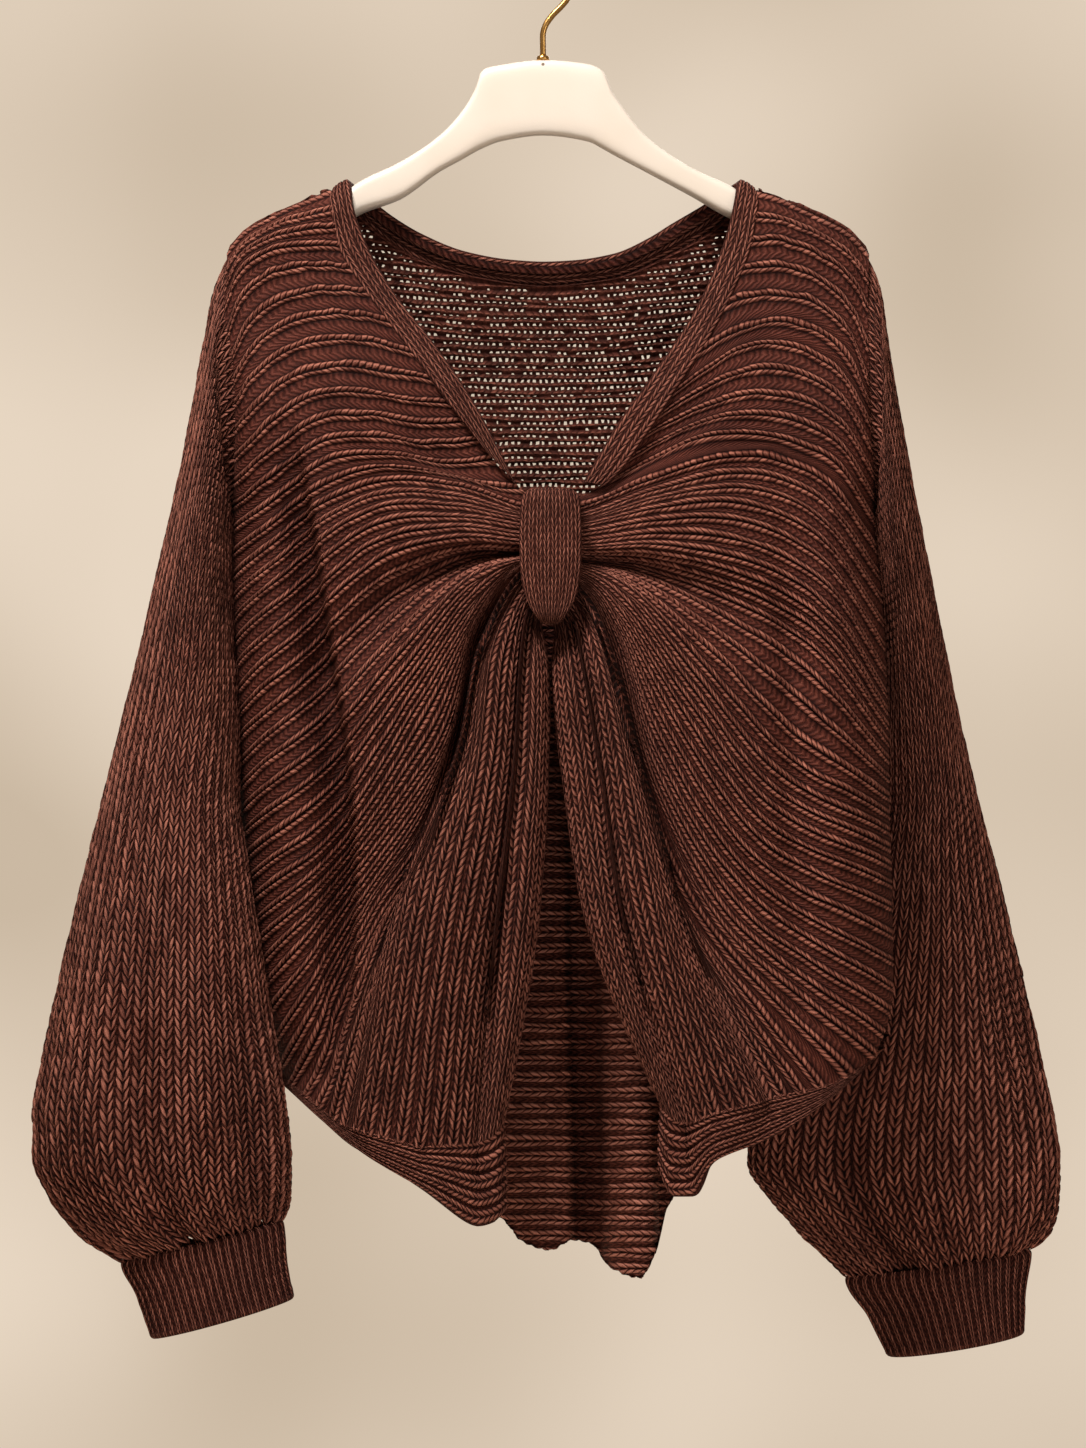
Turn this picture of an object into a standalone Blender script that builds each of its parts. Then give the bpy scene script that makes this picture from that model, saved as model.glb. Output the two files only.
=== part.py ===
# Twist front knit top on a wide shoulder hanger, hung from the hanger's hook.
#
# Metres, +Z up, the wearer's front faces -Y. The origin is the inside of the top of the hook's bend.
# Left and right are the wearer's, so the left front is on the +X side.
#
# The outlines are drawn on one sheet ruled in GRID millimetres, as they are seen from VIEW millimetres
# in front: columns x run to the +X side and rows z run down. Depths y are millimetres, + to the back.
import math

import bpy
import numpy as np

# ---------------------------------------------------------------- driving sizes, millimetres
GRID = 0.66            # one step of the ruled sheet
AXIS_COLUMN = 543.0    # sheet column of the plane X = 0
CREST_ROW = -33.0      # sheet row of the hook's inner crest, Z = 0
EYE_ROW = 724.0        # sheet row level with the eye
VIEW = 2200.0          # distance of the eye from the plane Y = 0

CLOTH = 3.0            # thickness of the knitted walls
SEAM_GAP = 0.35        # space between two pieces at a seam
RIB_STEPS = 14         # facets along a rib, from the neck to the side
MORE_RIBS = {"left": (0.35, 1, 3, 5, 7, 9), "right": (0.35, 1, 4, 6, 8, 10.5)}   # facets between the table's ribs
SLEEVE_SIDES = 24      # facets round a sleeve
CUFF_SIDES = 26        # facets round a cuff

ARMHOLE_TOP, ARMHOLE_FOOT = 254.0, 500.0   # sheet rows of the armhole's ends
ARMHOLE_HALF_DEPTH = 26.0                  # millimetres front or back of the seam line

LOOP_LEFT, LOOP_RIGHT = 519.0, 582.0       # sheet columns of the front loop's sides
LOOP_TOP, LOOP_FOOT = 488.0, 625.0         # sheet rows of its ends
LOOP_FRONT = -70.0                         # depth of its face
LOOP_TOP_RETURN, LOOP_FOOT_RETURN = 17.0, 14.0   # how far it turns in over the top and under the foot

WIRE_RADIUS = 2.05
HOOK_RADIUS = 17.2     # of the bend, to the wire's middle
FERRULE_RADIUS, FERRULE_HEIGHT = 4.2, 3.4
HANGER_SIDES = 18

# colours in linear light, roughness, metallic
SWEATER_BROWN = (0.098, 0.033, 0.022, 1.0)
BAND_BROWN = (0.090, 0.030, 0.020, 1.0)
HANGER_WHITE = (0.86, 0.79, 0.70, 1.0)
BRASS = (0.62, 0.42, 0.20, 1.0)

# ---------------------------------------------------------------- tables on the ruled sheet
# A body level: how far the front and the back stand from Y = 0, where the side seams lie, and how far in the round of a side reaches.
LEVEL_COLUMNS = ("row", "front", "back", "seam_right", "seam_left", "round")
LEVELS = (
    (184, 20, 20, 0, 0, 14),
    (300, 36, 34, 0, 0, 16),
    (420, 46, 40, 0, 0, 22),
    (556, 50, 42, 0, 0, 38),
    (700, 52, 42, 4, -3, 44),
    (850, 52, 40, 12, -10, 46),
    (1000, 50, 38, 20, -18, 46),
    (1150, 46, 36, 24, -22, 46),
    (1290, 44, 36, 24, -22, 46),
)

# The outline down each side of the body.
SIDE_COLUMNS = ("row", "right", "left")
SIDES = (
    (253, 227, 869),
    (270, 224, 872),
    (308, 225, 868),
    (356, 232, 868),
    (404, 235, 870),
    (458, 236, 874),
    (560, 236, 879),
    (640, 236, 885),
    (743, 237, 889),
    (860, 242, 892),
    (1000, 256, 893),
    (1040, 266, 888),
    (1073, 276, 872),
)

# The line over the shoulders and round the back of the neck.
TOP_COLUMNS = ("column", "shoulder", "back", "over_arm")
TOP = (
    (227, 253, 253, 20),
    (250, 229, 229, 20.5),
    (300, 204, 204, 20),
    (331, 191, 191, 18),
    (348, 180, 206, 16.5),
    (382, 180, 237, 14.5),
    (420, 180, 260, 13.5),
    (480, 180, 277, 12.5),
    (543, 180, 285, 12.5),
    (610, 180, 278, 12.5),
    (670, 180, 254, 13.5),
    (710, 180, 231, 14.5),
    (740, 180, 204, 16.5),
    (757, 191, 191, 18),
    (800, 208, 208, 20),
    (845, 231, 231, 20.5),
    (869, 254, 254, 20),
)

# One knitted rib or fold of a front: its number counted down from the shoulder, six points from the neck or the
# loop to the side or the hem, and how far it stands behind (+) or before (-) the body's round.
RIB_COLUMNS = (
    "rib", "root_x", "root_z", "gate_x", "gate_z", "near_x", "near_z",
    "mid_x", "mid_z", "far_x", "far_z", "end_x", "end_z",
    "gate_y", "near_y", "far_y", "end_y",
)
LEFT_RIBS = {
    "shoulder":    (0,  757, 191, 775, 197, 797, 207, 820, 218, 848, 233, 869, 254,   0,   0,   0,   0),
    "yoke":        (2,  749, 241, 775, 240, 800, 246, 830, 261, 853, 281, 868, 308,   0,   0,   0,   0),
    "chest_high":  (4,  724, 304, 752, 297, 780, 295, 815, 303, 847, 330, 869, 382,   0,   0,   0,   0),
    "chest":       (6,  667, 398, 705, 370, 750, 346, 795, 348, 840, 374, 871, 425,   1,   0,   0,   0),
    "chest_low":   (8,  640, 438, 685, 414, 742, 396, 792, 397, 840, 422, 875, 476,   4,   0,   0,   0),
    "beside_band": (10, 602, 485, 645, 462, 705, 438, 774, 437, 835, 463, 878, 526,   5,  -2,   0,   0),
    "bundle_top":  (11, 546, 512, 586, 505, 655, 478, 742, 456, 820, 478, 879, 552,   0,  -3,   0,   0),
    "bundle":      (14, 546, 526, 586, 524, 655, 509, 735, 503, 810, 531, 884, 623,   0,  -5,  -3,   0),
    "bundle_low":  (17, 546, 545, 586, 547, 655, 545, 740, 559, 815, 597, 887, 695,   1,  -5,  -3,   0),
    "notch":       (19, 546, 554, 586, 559, 636, 566, 715, 594, 805, 642, 889, 743,   9,   9,   1,   0),
    "lobe_a":      (22, 546, 564, 586, 567, 630, 590, 702, 664, 785, 755, 890, 815,   1,  -9,  -5,   0),
    "lobe_a_low":  (25, 546, 573, 586, 579, 622, 614, 682, 711, 766, 823, 892, 885,   2,  -5,  -3,   0),
    "shade_a":     (30, 546, 580, 584, 590, 612, 634, 658, 754, 738, 886, 893, 988,  12,  16,  10,   1),
    "corner":      (33, 546, 582, 583, 593, 605, 635, 645, 762, 715, 924, 876, 1055, 13,  19,  14,   2),
    "hem_outer":   (36, 546, 584, 582, 596, 602, 640, 641, 772, 700, 932, 822, 1089, 14,  20,  15,   2),
    "lobe_b_foot": (40, 546, 587, 581, 599, 600, 645, 636, 778, 688, 932, 765, 1101, 13,  18,  13,   1),
    "lobe_b":      (44, 546, 594, 579, 602, 600, 648, 627, 770, 664, 920, 714, 1112,  5, -15, -18, -10),
    "crease_bc":   (48, 546, 601, 570, 611, 588, 660, 612, 770, 645, 905, 685, 1124, 12,  13,   8,   4),
    "lobe_c":      (51, 546, 607, 557, 617, 570, 670, 583, 785, 607, 925, 672, 1118,  7,  -8, -12,  -6),
    "front_edge":  (54, 546, 613, 554, 625, 562, 675, 573, 772, 598, 938, 662, 1109, 15,  15,  12,   6),
}
RIGHT_RIBS = {
    "shoulder":    (0,  331, 191, 314, 198, 292, 208, 270, 218, 245, 233, 227, 253,   0,   0,   0,   0),
    "yoke":        (3,  342, 246, 315, 245, 290, 246, 265, 253, 240, 271, 224, 308,   0,   0,   0,   0),
    "chest_high":  (5,  370, 292, 342, 290, 312, 291, 280, 299, 250, 321, 232, 356,   0,   0,   0,   0),
    "chest":       (7,  417, 354, 375, 341, 330, 339, 292, 348, 258, 372, 235, 404,   1,   0,   0,   0),
    "chest_low":   (9,  452, 402, 405, 398, 360, 392, 310, 397, 268, 424, 236, 458,   4,   0,   0,   0),
    "beside_band": (12, 492, 458, 445, 462, 390, 455, 340, 457, 285, 489, 236, 530,   5,  -2,   0,   0),
    "bundle_top":  (14, 540, 512, 517, 506, 455, 486, 380, 482, 305, 515, 236, 578,   0,  -3,   0,   0),
    "bundle":      (16, 540, 524, 517, 518, 455, 507, 380, 508, 305, 555, 236, 622,   0,  -5,  -3,   0),
    "bundle_low":  (19, 540, 543, 517, 541, 460, 538, 385, 557, 310, 621, 237, 694,   1,  -5,  -3,   0),
    "notch":       (21, 540, 551, 517, 552, 468, 556, 398, 592, 312, 672, 237, 742,   9,   9,   1,   0),
    "lobe_a":      (24, 540, 560, 517, 560, 470, 580, 400, 655, 325, 741, 239, 814,   1,  -9,  -5,   0),
    "lobe_a_low":  (28, 540, 570, 516, 574, 478, 606, 418, 706, 340, 828, 246, 908,   2,  -5,  -3,   0),
    "shade_a":     (32, 540, 577, 517, 587, 484, 630, 434, 746, 365, 884, 256, 1000, 12,  16,   9,   1),
    "corner":      (36, 540, 580, 517, 591, 488, 633, 445, 742, 382, 896, 277, 1073, 13,  18,  10,   2),
    "hem_outer":   (39, 540, 583, 518, 595, 490, 642, 454, 745, 396, 905, 318, 1107, 14,  19,   8,   1),
    "lobe_b_foot": (41, 540, 586, 519, 598, 492, 650, 462, 745, 410, 905, 350, 1129, 13,  16,   5,   0),
    "lobe_b":      (46, 540, 594, 521, 604, 500, 648, 474, 760, 442, 915, 420, 1145,  5, -14, -17,  -9),
    "crease_bc":   (51, 540, 601, 528, 611, 516, 662, 505, 760, 486, 895, 476, 1143, 12,  13,   9,   4),
    "lobe_c":      (54, 540, 607, 535, 617, 535, 670, 535, 780, 524, 935, 492, 1136,  7,  -8, -12,  -6),
    "front_edge":  (57, 540, 613, 541, 625, 546, 675, 548, 780, 538, 945, 503, 1126, 15,  15,  12,   6),
}

# The neckband's free edge at the height of a rib's root, and the outline of a hem band under a rib's end.
BAND_COLUMNS = ("rib", "free_x", "free_z")
LEFT_NECKBAND = ((0, 739, 180), (1.2, 734, 204), (2, 728, 230), (4, 702, 297), (6, 652, 376), (8, 620, 421), (10, 584, 482))
RIGHT_NECKBAND = ((0, 349, 180), (1.5, 353, 206), (3, 363, 236), (5, 391, 288), (7, 436, 346), (9, 470, 396), (12, 515, 482))
BACK_NECK_COLUMNS = ("seam_column", "free_x", "free_z")
BACK_NECK = (
    (335.5, 352, 182.5), (339, 355, 186), (349, 364, 194), (364, 378, 206), (384, 394, 218), (415, 421, 234), (465, 466, 252),
    (510, 510, 260), (545, 544, 262), (577, 575, 260.5), (618, 614, 254), (654, 648, 239), (682, 671, 225), (712, 700, 208),
    (732, 717, 197), (746, 728, 189), (752.5, 734, 183.5),
)
HEM_COLUMNS = ("rib", "low_x", "low_z", "depth")
LEFT_HEM = ((33, 873, 1062, 1), (36, 818, 1109, 2), (40, 766, 1140, 0), (44, 712, 1165, -9), (48, 692, 1196, -2), (51, 673, 1197, 2), (54, 659, 1172, 8))
RIGHT_HEM = ((36, 279, 1081, 2), (39, 322, 1121, 1), (41, 352, 1146, 0), (46, 424, 1191, -8), (51, 478, 1226, 0), (54, 495, 1222, 0), (57, 506, 1212, 6))

# The back's hem, and its two folds that stand forward in the middle.
BACK_HEM_COLUMNS = ("column", "row")
BACK_HEM = (
    (240, 1035), (300, 1078), (360, 1122), (420, 1163), (470, 1198), (503, 1218), (522, 1240), (550, 1249),
    (573, 1239), (592, 1243), (610, 1266), (640, 1277), (654, 1255), (668, 1204), (700, 1170), (745, 1130), (800, 1098), (850, 1062), (889, 1030),
)
BACK_FOLD_COLUMNS = ("column", "half_width", "forward")
BACK_FOLDS = {
    "crest_right": (545, 22, 17),
    "valley":      (588, 14, -7),
    "crest_left":  (631, 22, 20),
}
BACK_FOLDS_START, BACK_FOLDS_FULL = 760.0, 1180.0   # sheet rows
BACK_COLUMNS = (
    227, 238, 256, 290, 331, 339, 349, 364, 384, 415, 465, 510, 528, 545, 563, 577, 590, 603, 618, 634, 654,
    682, 712, 732, 746, 757, 800, 838, 858, 869,
)
BACK_SHARES = (0, 0.006, 0.018, 0.04, 0.08, 0.14, 0.21, 0.29, 0.38, 0.48, 0.58, 0.68, 0.78, 0.87, 0.94, 1)

# A sleeve ring: its outer and inner points as seen, its middle's depth and its half depth.
RING_COLUMNS = ("outer_x", "outer_z", "inner_x", "inner_z", "middle", "half_depth")
RIGHT_SLEEVE = {
    "head":       (217, 284, 226.5, 512,   0, 29),
    "head_low":   (208, 325, 225, 530,    -2, 33),
    "arm_high":   (196, 392, 223.5, 552,  -5, 37),
    "arm":        (180, 475, 223, 590,    -8, 41),
    "arm_low":    (160, 563, 225, 640,   -12, 44),
    "elbow":      (137, 662, 230, 708,   -18, 46),
    "fore_high":  (112, 763, 239, 790,   -26, 46),
    "fore":       (88, 860, 248, 866,    -34, 46),
    "fore_low":   (65, 955, 261, 948,    -41, 46),
    "full_high":  (46, 1045, 275, 1035,  -46, 45),
    "full":       (33, 1115, 286, 1105,  -48, 43),
    "turn":       (33, 1158, 291, 1160,  -48, 40),
    "gather":     (48, 1194, 291, 1188,  -48, 35),
    "gather_low": (78, 1233, 288, 1208,  -48, 28),
    "cuff_seam":  (121.7, 1262.2, 282.8, 1222.2, -48, 19),
}
LEFT_SLEEVE = {
    "head":       (878, 286, 882, 514,     0, 29),
    "head_low":   (885, 330, 884, 534,     2, 33),
    "arm_high":   (896, 395, 886, 558,     5, 37),
    "arm":        (910, 475, 889, 594,    14, 41),
    "arm_low":    (927, 562, 892, 640,    27, 40),
    "elbow":      (947, 662, 890, 706,    44, 39),
    "fore_high":  (969, 762, 874, 790,    60, 38),
    "fore":       (993, 858, 848, 870,    69, 37),
    "fore_low":   (1017, 955, 818, 955,   75, 36),
    "full_high":  (1039, 1050, 784, 1045, 78, 36),
    "full":       (1055, 1122, 755, 1112, 79, 35),
    "turn":       (1060, 1168, 748, 1162, 79, 34),
    "gather":     (1057, 1205, 765, 1193, 78, 32),
    "gather_low": (1047, 1233, 797, 1230, 77, 27),
    "cuff_seam":  (1031, 1251.2, 845.8, 1279.2, 77, 19),
}
CUFF_RING_COLUMNS = RING_COLUMNS
RIGHT_CUFF = {
    "seam":  (122, 1263, 283, 1223, -48, 19),
    "upper": (136, 1292, 286, 1260, -48, 20),
    "edge":  (152, 1337, 293, 1297, -48, 21),
}
LEFT_CUFF = {
    "seam":  (1031, 1252, 846, 1280, 77, 19),
    "upper": (1025, 1290, 867, 1314, 77, 20),
    "edge":  (1023, 1332, 888, 1355, 77, 21),
}

# A section across the hanger's body: its top, its foot, its half thickness in millimetres and how square it is.
HANGER_COLUMNS = ("column", "top", "foot", "half_thick", "square")
HANGER = (
    (248, 250, 260, 6, 2), (256, 241, 264, 10, 2), (280, 223.5, 262, 14, 2), (320, 205.5, 241, 13, 2), (345, 193, 224, 11, 2),
    (360, 182.5, 214, 10, 2.2), (400, 163, 199, 8, 2.4), (440, 136, 171, 7, 2.6), (462, 112, 159, 7, 2.6),
    (476, 88, 151, 7, 2.6), (482, 71, 148, 7, 2.6), (500, 66, 141, 7, 2.6), (543, 61, 135, 7, 2.6), (588, 65, 141, 7, 2.6),
    (604, 73, 149, 7, 2.6), (611, 90, 153, 7, 2.6), (624, 110, 160, 7, 2.6), (645, 136, 171, 7, 2.6),
    (690, 168, 195, 8, 2.4), (733, 188.5, 219, 10, 2.2), (744, 196, 223, 11, 2), (780, 209.5, 245, 13, 2), (820, 229, 262, 14, 2),
    (842, 245, 264, 10, 2), (850, 253, 262, 6, 2),
)


# ---------------------------------------------------------------- reading a table and bending curves
def columns_of(names, rows):
    """A table's columns as arrays, by name."""
    values = np.array(list(rows.values()) if isinstance(rows, dict) else rows, float)
    return {name: values[:, i] for i, name in enumerate(names)}


def through(knots, values, at):
    """A curve through the values that never swings past them, read at the given places."""
    knots = np.asarray(knots, float)
    values = np.asarray(values, float)
    at = np.clip(at, knots[0], knots[-1])
    tail = (1,) * (values.ndim - 1)
    step = np.diff(knots).reshape(-1, *tail)
    rise = np.diff(values, axis=0) / step
    slope = np.zeros_like(values)
    slope[0], slope[-1] = rise[0], rise[-1]
    before, after = step[:-1], step[1:]
    same = rise[:-1] * rise[1:] > 0
    bottom = np.where(same, (2 * after + before) / np.where(same, rise[:-1], 1) + (after + 2 * before) / np.where(same, rise[1:], 1), 1)
    slope[1:-1] = np.where(same, 3 * (before + after) / bottom, 0)
    i = np.clip(np.searchsorted(knots, at, side="right") - 1, 0, len(knots) - 2)
    h = (knots[i + 1] - knots[i]).reshape(np.shape(at) + tail)
    t = (at - knots[i]).reshape(np.shape(at) + tail) / h
    return (
        (1 + 2 * t) * (1 - t) ** 2 * values[i] + t * (1 - t) ** 2 * h * slope[i]
        + t * t * (3 - 2 * t) * values[i + 1] + t * t * (t - 1) * h * slope[i + 1]
    )


def bend_through(points, count):
    """A smooth curve through a few points, as that many evenly spaced places."""
    points = np.asarray(points, float)
    gaps = np.sqrt(np.linalg.norm(np.diff(points[:, :2], axis=0), axis=1)) + 1e-9
    at = np.concatenate([[0], np.cumsum(gaps)])
    slope = np.gradient(points, at, axis=0)
    t = np.linspace(0, at[-1], 24 * len(points))
    i = np.clip(np.searchsorted(at, t, side="right") - 1, 0, len(at) - 2)
    h = (at[i + 1] - at[i])[:, None]
    s = ((t - at[i]) / h[:, 0])[:, None]
    fine = (
        (1 + 2 * s) * (1 - s) ** 2 * points[i] + s * (1 - s) ** 2 * h * slope[i]
        + s * s * (3 - 2 * s) * points[i + 1] + s * s * (s - 1) * h * slope[i + 1]
    )
    run = np.concatenate([[0], np.cumsum(np.linalg.norm(np.diff(fine[:, :2], axis=0), axis=1))])
    even = np.linspace(0, run[-1], count)
    return np.stack([np.interp(even, run, fine[:, k]) for k in range(points.shape[1])], 1)


def ease(t):
    t = np.clip(t, 0, 1)
    return t * t * (3 - 2 * t)


def quarter_round(t):
    """Rises from 0 to 1 like the side of a circle."""
    return np.sqrt(np.clip(1 - (1 - np.clip(t, 0, 1)) ** 2, 0, 1))


def placed(column, row, depth):
    """A place on the ruled sheet, pushed along the line of sight to its depth, in metres."""
    scale = (VIEW + depth) / VIEW
    eye_z = (CREST_ROW - EYE_ROW) * GRID
    x = (column - AXIS_COLUMN) * GRID * scale
    z = eye_z + (EYE_ROW - row) * GRID * scale
    return np.stack(np.broadcast_arrays(x, depth, z), -1) / 1000


# ---------------------------------------------------------------- the body's round
level = columns_of(LEVEL_COLUMNS, LEVELS)
side = columns_of(SIDE_COLUMNS, SIDES)
top = columns_of(TOP_COLUMNS, TOP)
hanger = columns_of(HANGER_COLUMNS, HANGER)


def armhole_depth(row):
    middle, half = (ARMHOLE_TOP + ARMHOLE_FOOT) / 2, (ARMHOLE_FOOT - ARMHOLE_TOP) / 2
    return ARMHOLE_HALF_DEPTH * np.sqrt(np.clip(1 - ((row - middle) / half) ** 2, 0, 1))


def body_depth(column, row, face):
    """Depth of the body's round at a place on the sheet; face is -1 for the front and +1 for the back."""
    left = column > AXIS_COLUMN
    edge = np.where(left, through(side["row"], side["left"], row), through(side["row"], side["right"], row))
    seam = np.where(left, through(level["row"], level["seam_left"], row), through(level["row"], level["seam_right"], row))
    reach = through(level["row"], level["round"], row)
    inward = quarter_round(np.abs(edge - column) * GRID / reach)
    over_arm = through(top["column"], top["over_arm"], column)
    below_top = np.clip(row - through(top["column"], top["shoulder"], column), 0, None) * GRID
    full = through(level["row"], level["front" if face < 0 else "back"], row)
    stand = over_arm * quarter_round(below_top / over_arm) + np.clip(full - over_arm, 0, None) * ease(below_top / 150)
    armhole = armhole_depth(row)
    return seam * (1 - inward) + face * (armhole + (stand - armhole) * inward)


# ---------------------------------------------------------------- walls
def finish(name, points, faces, material, smooth=True):
    mesh = bpy.data.meshes.new(name)
    mesh.from_pydata([tuple(p) for p in points], [], faces)
    mesh.validate()
    mesh.polygons.foreach_set("use_smooth", [smooth] * len(mesh.polygons))
    obj = bpy.data.objects.new(name, mesh)
    bpy.context.scene.collection.objects.link(obj)
    mesh.materials.append(material)
    obj.parent = rig
    return obj


def wall(name, outer, inner, material, ring=False):
    """A closed wall between an outer and an inner grid of points; ring joins each row's end to its start."""
    rows, cols = outer.shape[:2]
    points = np.concatenate([outer.reshape(-1, 3), inner.reshape(-1, 3)])
    base = rows * cols
    faces = []
    last = cols if ring else cols - 1
    for r in range(rows - 1):
        for c in range(last):
            a, b = r * cols + c, r * cols + (c + 1) % cols
            faces.append((a, b, b + cols, a + cols))
            faces.append((base + a, base + a + cols, base + b + cols, base + b))
    for c in range(last):
        b = (c + 1) % cols
        faces.append((b, c, base + c, base + b))
        a, d = (rows - 1) * cols + c, (rows - 1) * cols + b
        faces.append((a, d, base + d, base + a))
    if not ring:
        for r in range(rows - 1):
            a, b = r * cols, (r + 1) * cols
            faces.append((a, b, base + b, base + a))
            c, d = r * cols + cols - 1, (r + 1) * cols + cols - 1
            faces.append((d, c, base + c, base + d))
    a, b, c, d = (points[i] for i in faces[0])
    outward = np.dot(np.cross(c - a, d - b), outer[0, 0] + outer[0, 1] - inner[0, 0] - inner[0, 1])
    if outward < 0:
        faces = [face[::-1] for face in faces]
    return finish(name, points, faces, material)


def unit(v):
    return v / np.maximum(np.linalg.norm(v, axis=-1, keepdims=True), 1e-12)


def normals_of(points, toward):
    """The facing of a grid of points, turned so that it looks the given way on the whole."""
    across = np.gradient(points, axis=1)
    down = np.gradient(points, axis=0)
    facing = unit(np.cross(across, down))
    if np.mean(facing @ np.asarray(toward, float)) < 0:
        facing = -facing
    return facing


# ---------------------------------------------------------------- fronts
def rib_curves(ribs, count=201):
    """Each rib of the table as evenly spaced places: column, row and stand."""
    t = columns_of(RIB_COLUMNS, ribs)
    curves = []
    for i in range(len(t["rib"])):
        stand_mid = (t["near_y"][i] + t["far_y"][i]) / 2
        stands = (t["gate_y"][i], t["gate_y"][i], t["near_y"][i], stand_mid, t["far_y"][i], t["end_y"][i])
        stops = [
            (t[key + "_x"][i], t[key + "_z"][i], stand)
            for key, stand in zip(("root", "gate", "near", "mid", "far", "end"), stands)
        ]
        curves.append(bend_through(stops, count))
    return t["rib"], np.array(curves)


def front_sheet(ribs, rib_numbers, along):
    """The front at given ribs and shares of their length: column, row and stand, as a grid."""
    numbers, curves = rib_curves(ribs)
    shares = np.linspace(0, 1, curves.shape[1])
    at = np.stack([
        np.stack([np.interp(along, shares, curve[:, k]) for k in range(3)], 1) for curve in curves
    ])
    return through(numbers, at, np.asarray(rib_numbers, float))


def front_points(sheet, lift=0.0):
    """The round under a sheet of places, its facing, and the cloth's outer face."""
    column, row, stand = sheet[..., 0], sheet[..., 1], sheet[..., 2]
    depth = np.minimum(body_depth(column, row, -1), 40)
    base = placed(column, row, depth)
    facing = normals_of(base, (0, -1, 0))
    outer = base + facing * (lift - stand)[..., None] / 1000
    return base, facing, outer


def even_along(count):
    """Shares of a rib's length, closer together at both ends."""
    t = np.linspace(0, 1, count + 1)
    return 0.55 * t + 0.45 * (1 - np.cos(math.pi * t)) / 2


def stations_of(ribs):
    """The table's ribs and the ones between them that the facets follow."""
    more = MORE_RIBS["left" if ribs is LEFT_RIBS else "right"]
    return np.array(sorted({*more, *(row[0] for row in ribs.values())}), float)


def front(name, ribs, material):
    stations = stations_of(ribs)
    sheet = front_sheet(ribs, stations, even_along(RIB_STEPS))
    _, facing, outer = front_points(sheet)
    inner = outer - facing * CLOTH / 1000
    behind_seam(sheet, (outer, inner), -1)
    wall(name, outer, inner, material)
    return stations, sheet, outer


def behind_seam(sheet, grids, face):
    """Keeps each grid on its own side of the shoulder and side seams."""
    left = sheet[..., 0] > AXIS_COLUMN
    seam = np.where(left, through(level["row"], level["seam_left"], sheet[..., 1]), through(level["row"], level["seam_right"], sheet[..., 1]))
    for grid in grids:
        limit = (seam + face * SEAM_GAP / 2) / 1000
        grid[..., 1] = np.minimum(grid[..., 1], limit) if face < 0 else np.maximum(grid[..., 1], limit)


# ---------------------------------------------------------------- back, neckband, hems and loop
def back(name, material):
    """The back, from the shoulders and the neck down to its hem."""
    nominal = np.array(BACK_COLUMNS, float)[None, :]
    hem = columns_of(BACK_HEM_COLUMNS, BACK_HEM)
    high = through(top["column"], top["back"], nominal)
    low = through(hem["column"], hem["row"], nominal)
    row = high + np.array(BACK_SHARES)[:, None] * (low - high)
    inner_right, inner_left = 331.0, 757.0
    to_right = np.clip((inner_right - nominal) / (inner_right - BACK_COLUMNS[0]), 0, 1)
    to_left = np.clip((nominal - inner_left) / (BACK_COLUMNS[-1] - inner_left), 0, 1)
    column = (
        nominal
        + to_right * (through(side["row"], side["right"], row) - BACK_COLUMNS[0])
        + to_left * (through(side["row"], side["left"], row) - BACK_COLUMNS[-1])
    )
    sheet = np.stack([column, row], -1)
    round_depth = body_depth(column, row, 1)
    folds = columns_of(BACK_FOLD_COLUMNS, BACK_FOLDS)
    fade = ease((row - BACK_FOLDS_START) / (BACK_FOLDS_FULL - BACK_FOLDS_START))
    depth = round_depth + 0
    for centre, half, forward in zip(folds["column"], folds["half_width"], folds["forward"]):
        depth = depth - fade * forward * np.exp(-(((column - centre) / half) ** 2))
    outer = placed(column, row, depth)
    facing = normals_of(placed(column, row, round_depth), (0, 1, 0))
    inner = outer - facing * CLOTH / 1000
    behind_seam(sheet, (outer, inner), 1)
    wall(name, outer, inner, material)


def strip(name, outer_edge, free_edge, material, bulge=1.2):
    """A band between a seam edge and a free edge, each a line of points in metres, slightly rounded across."""
    middle = (outer_edge + free_edge) / 2
    grid = np.stack([outer_edge, middle, free_edge], 1)
    facing = unit(np.cross(np.gradient(grid, axis=1), np.gradient(grid, axis=0)))
    if np.mean(facing[0] @ np.array([0.0, -1, 0])) < 0:
        facing = -facing
    grid = grid + facing * np.array([0, bulge, 0])[None, :, None] / 1000
    return wall(name, grid, grid - facing * CLOTH / 1000, material)


def toward(a, b, step):
    """Moves line a toward line b by a step in sheet units."""
    d = b - a
    return a + d / np.linalg.norm(d, axis=-1, keepdims=True) * step


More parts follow.
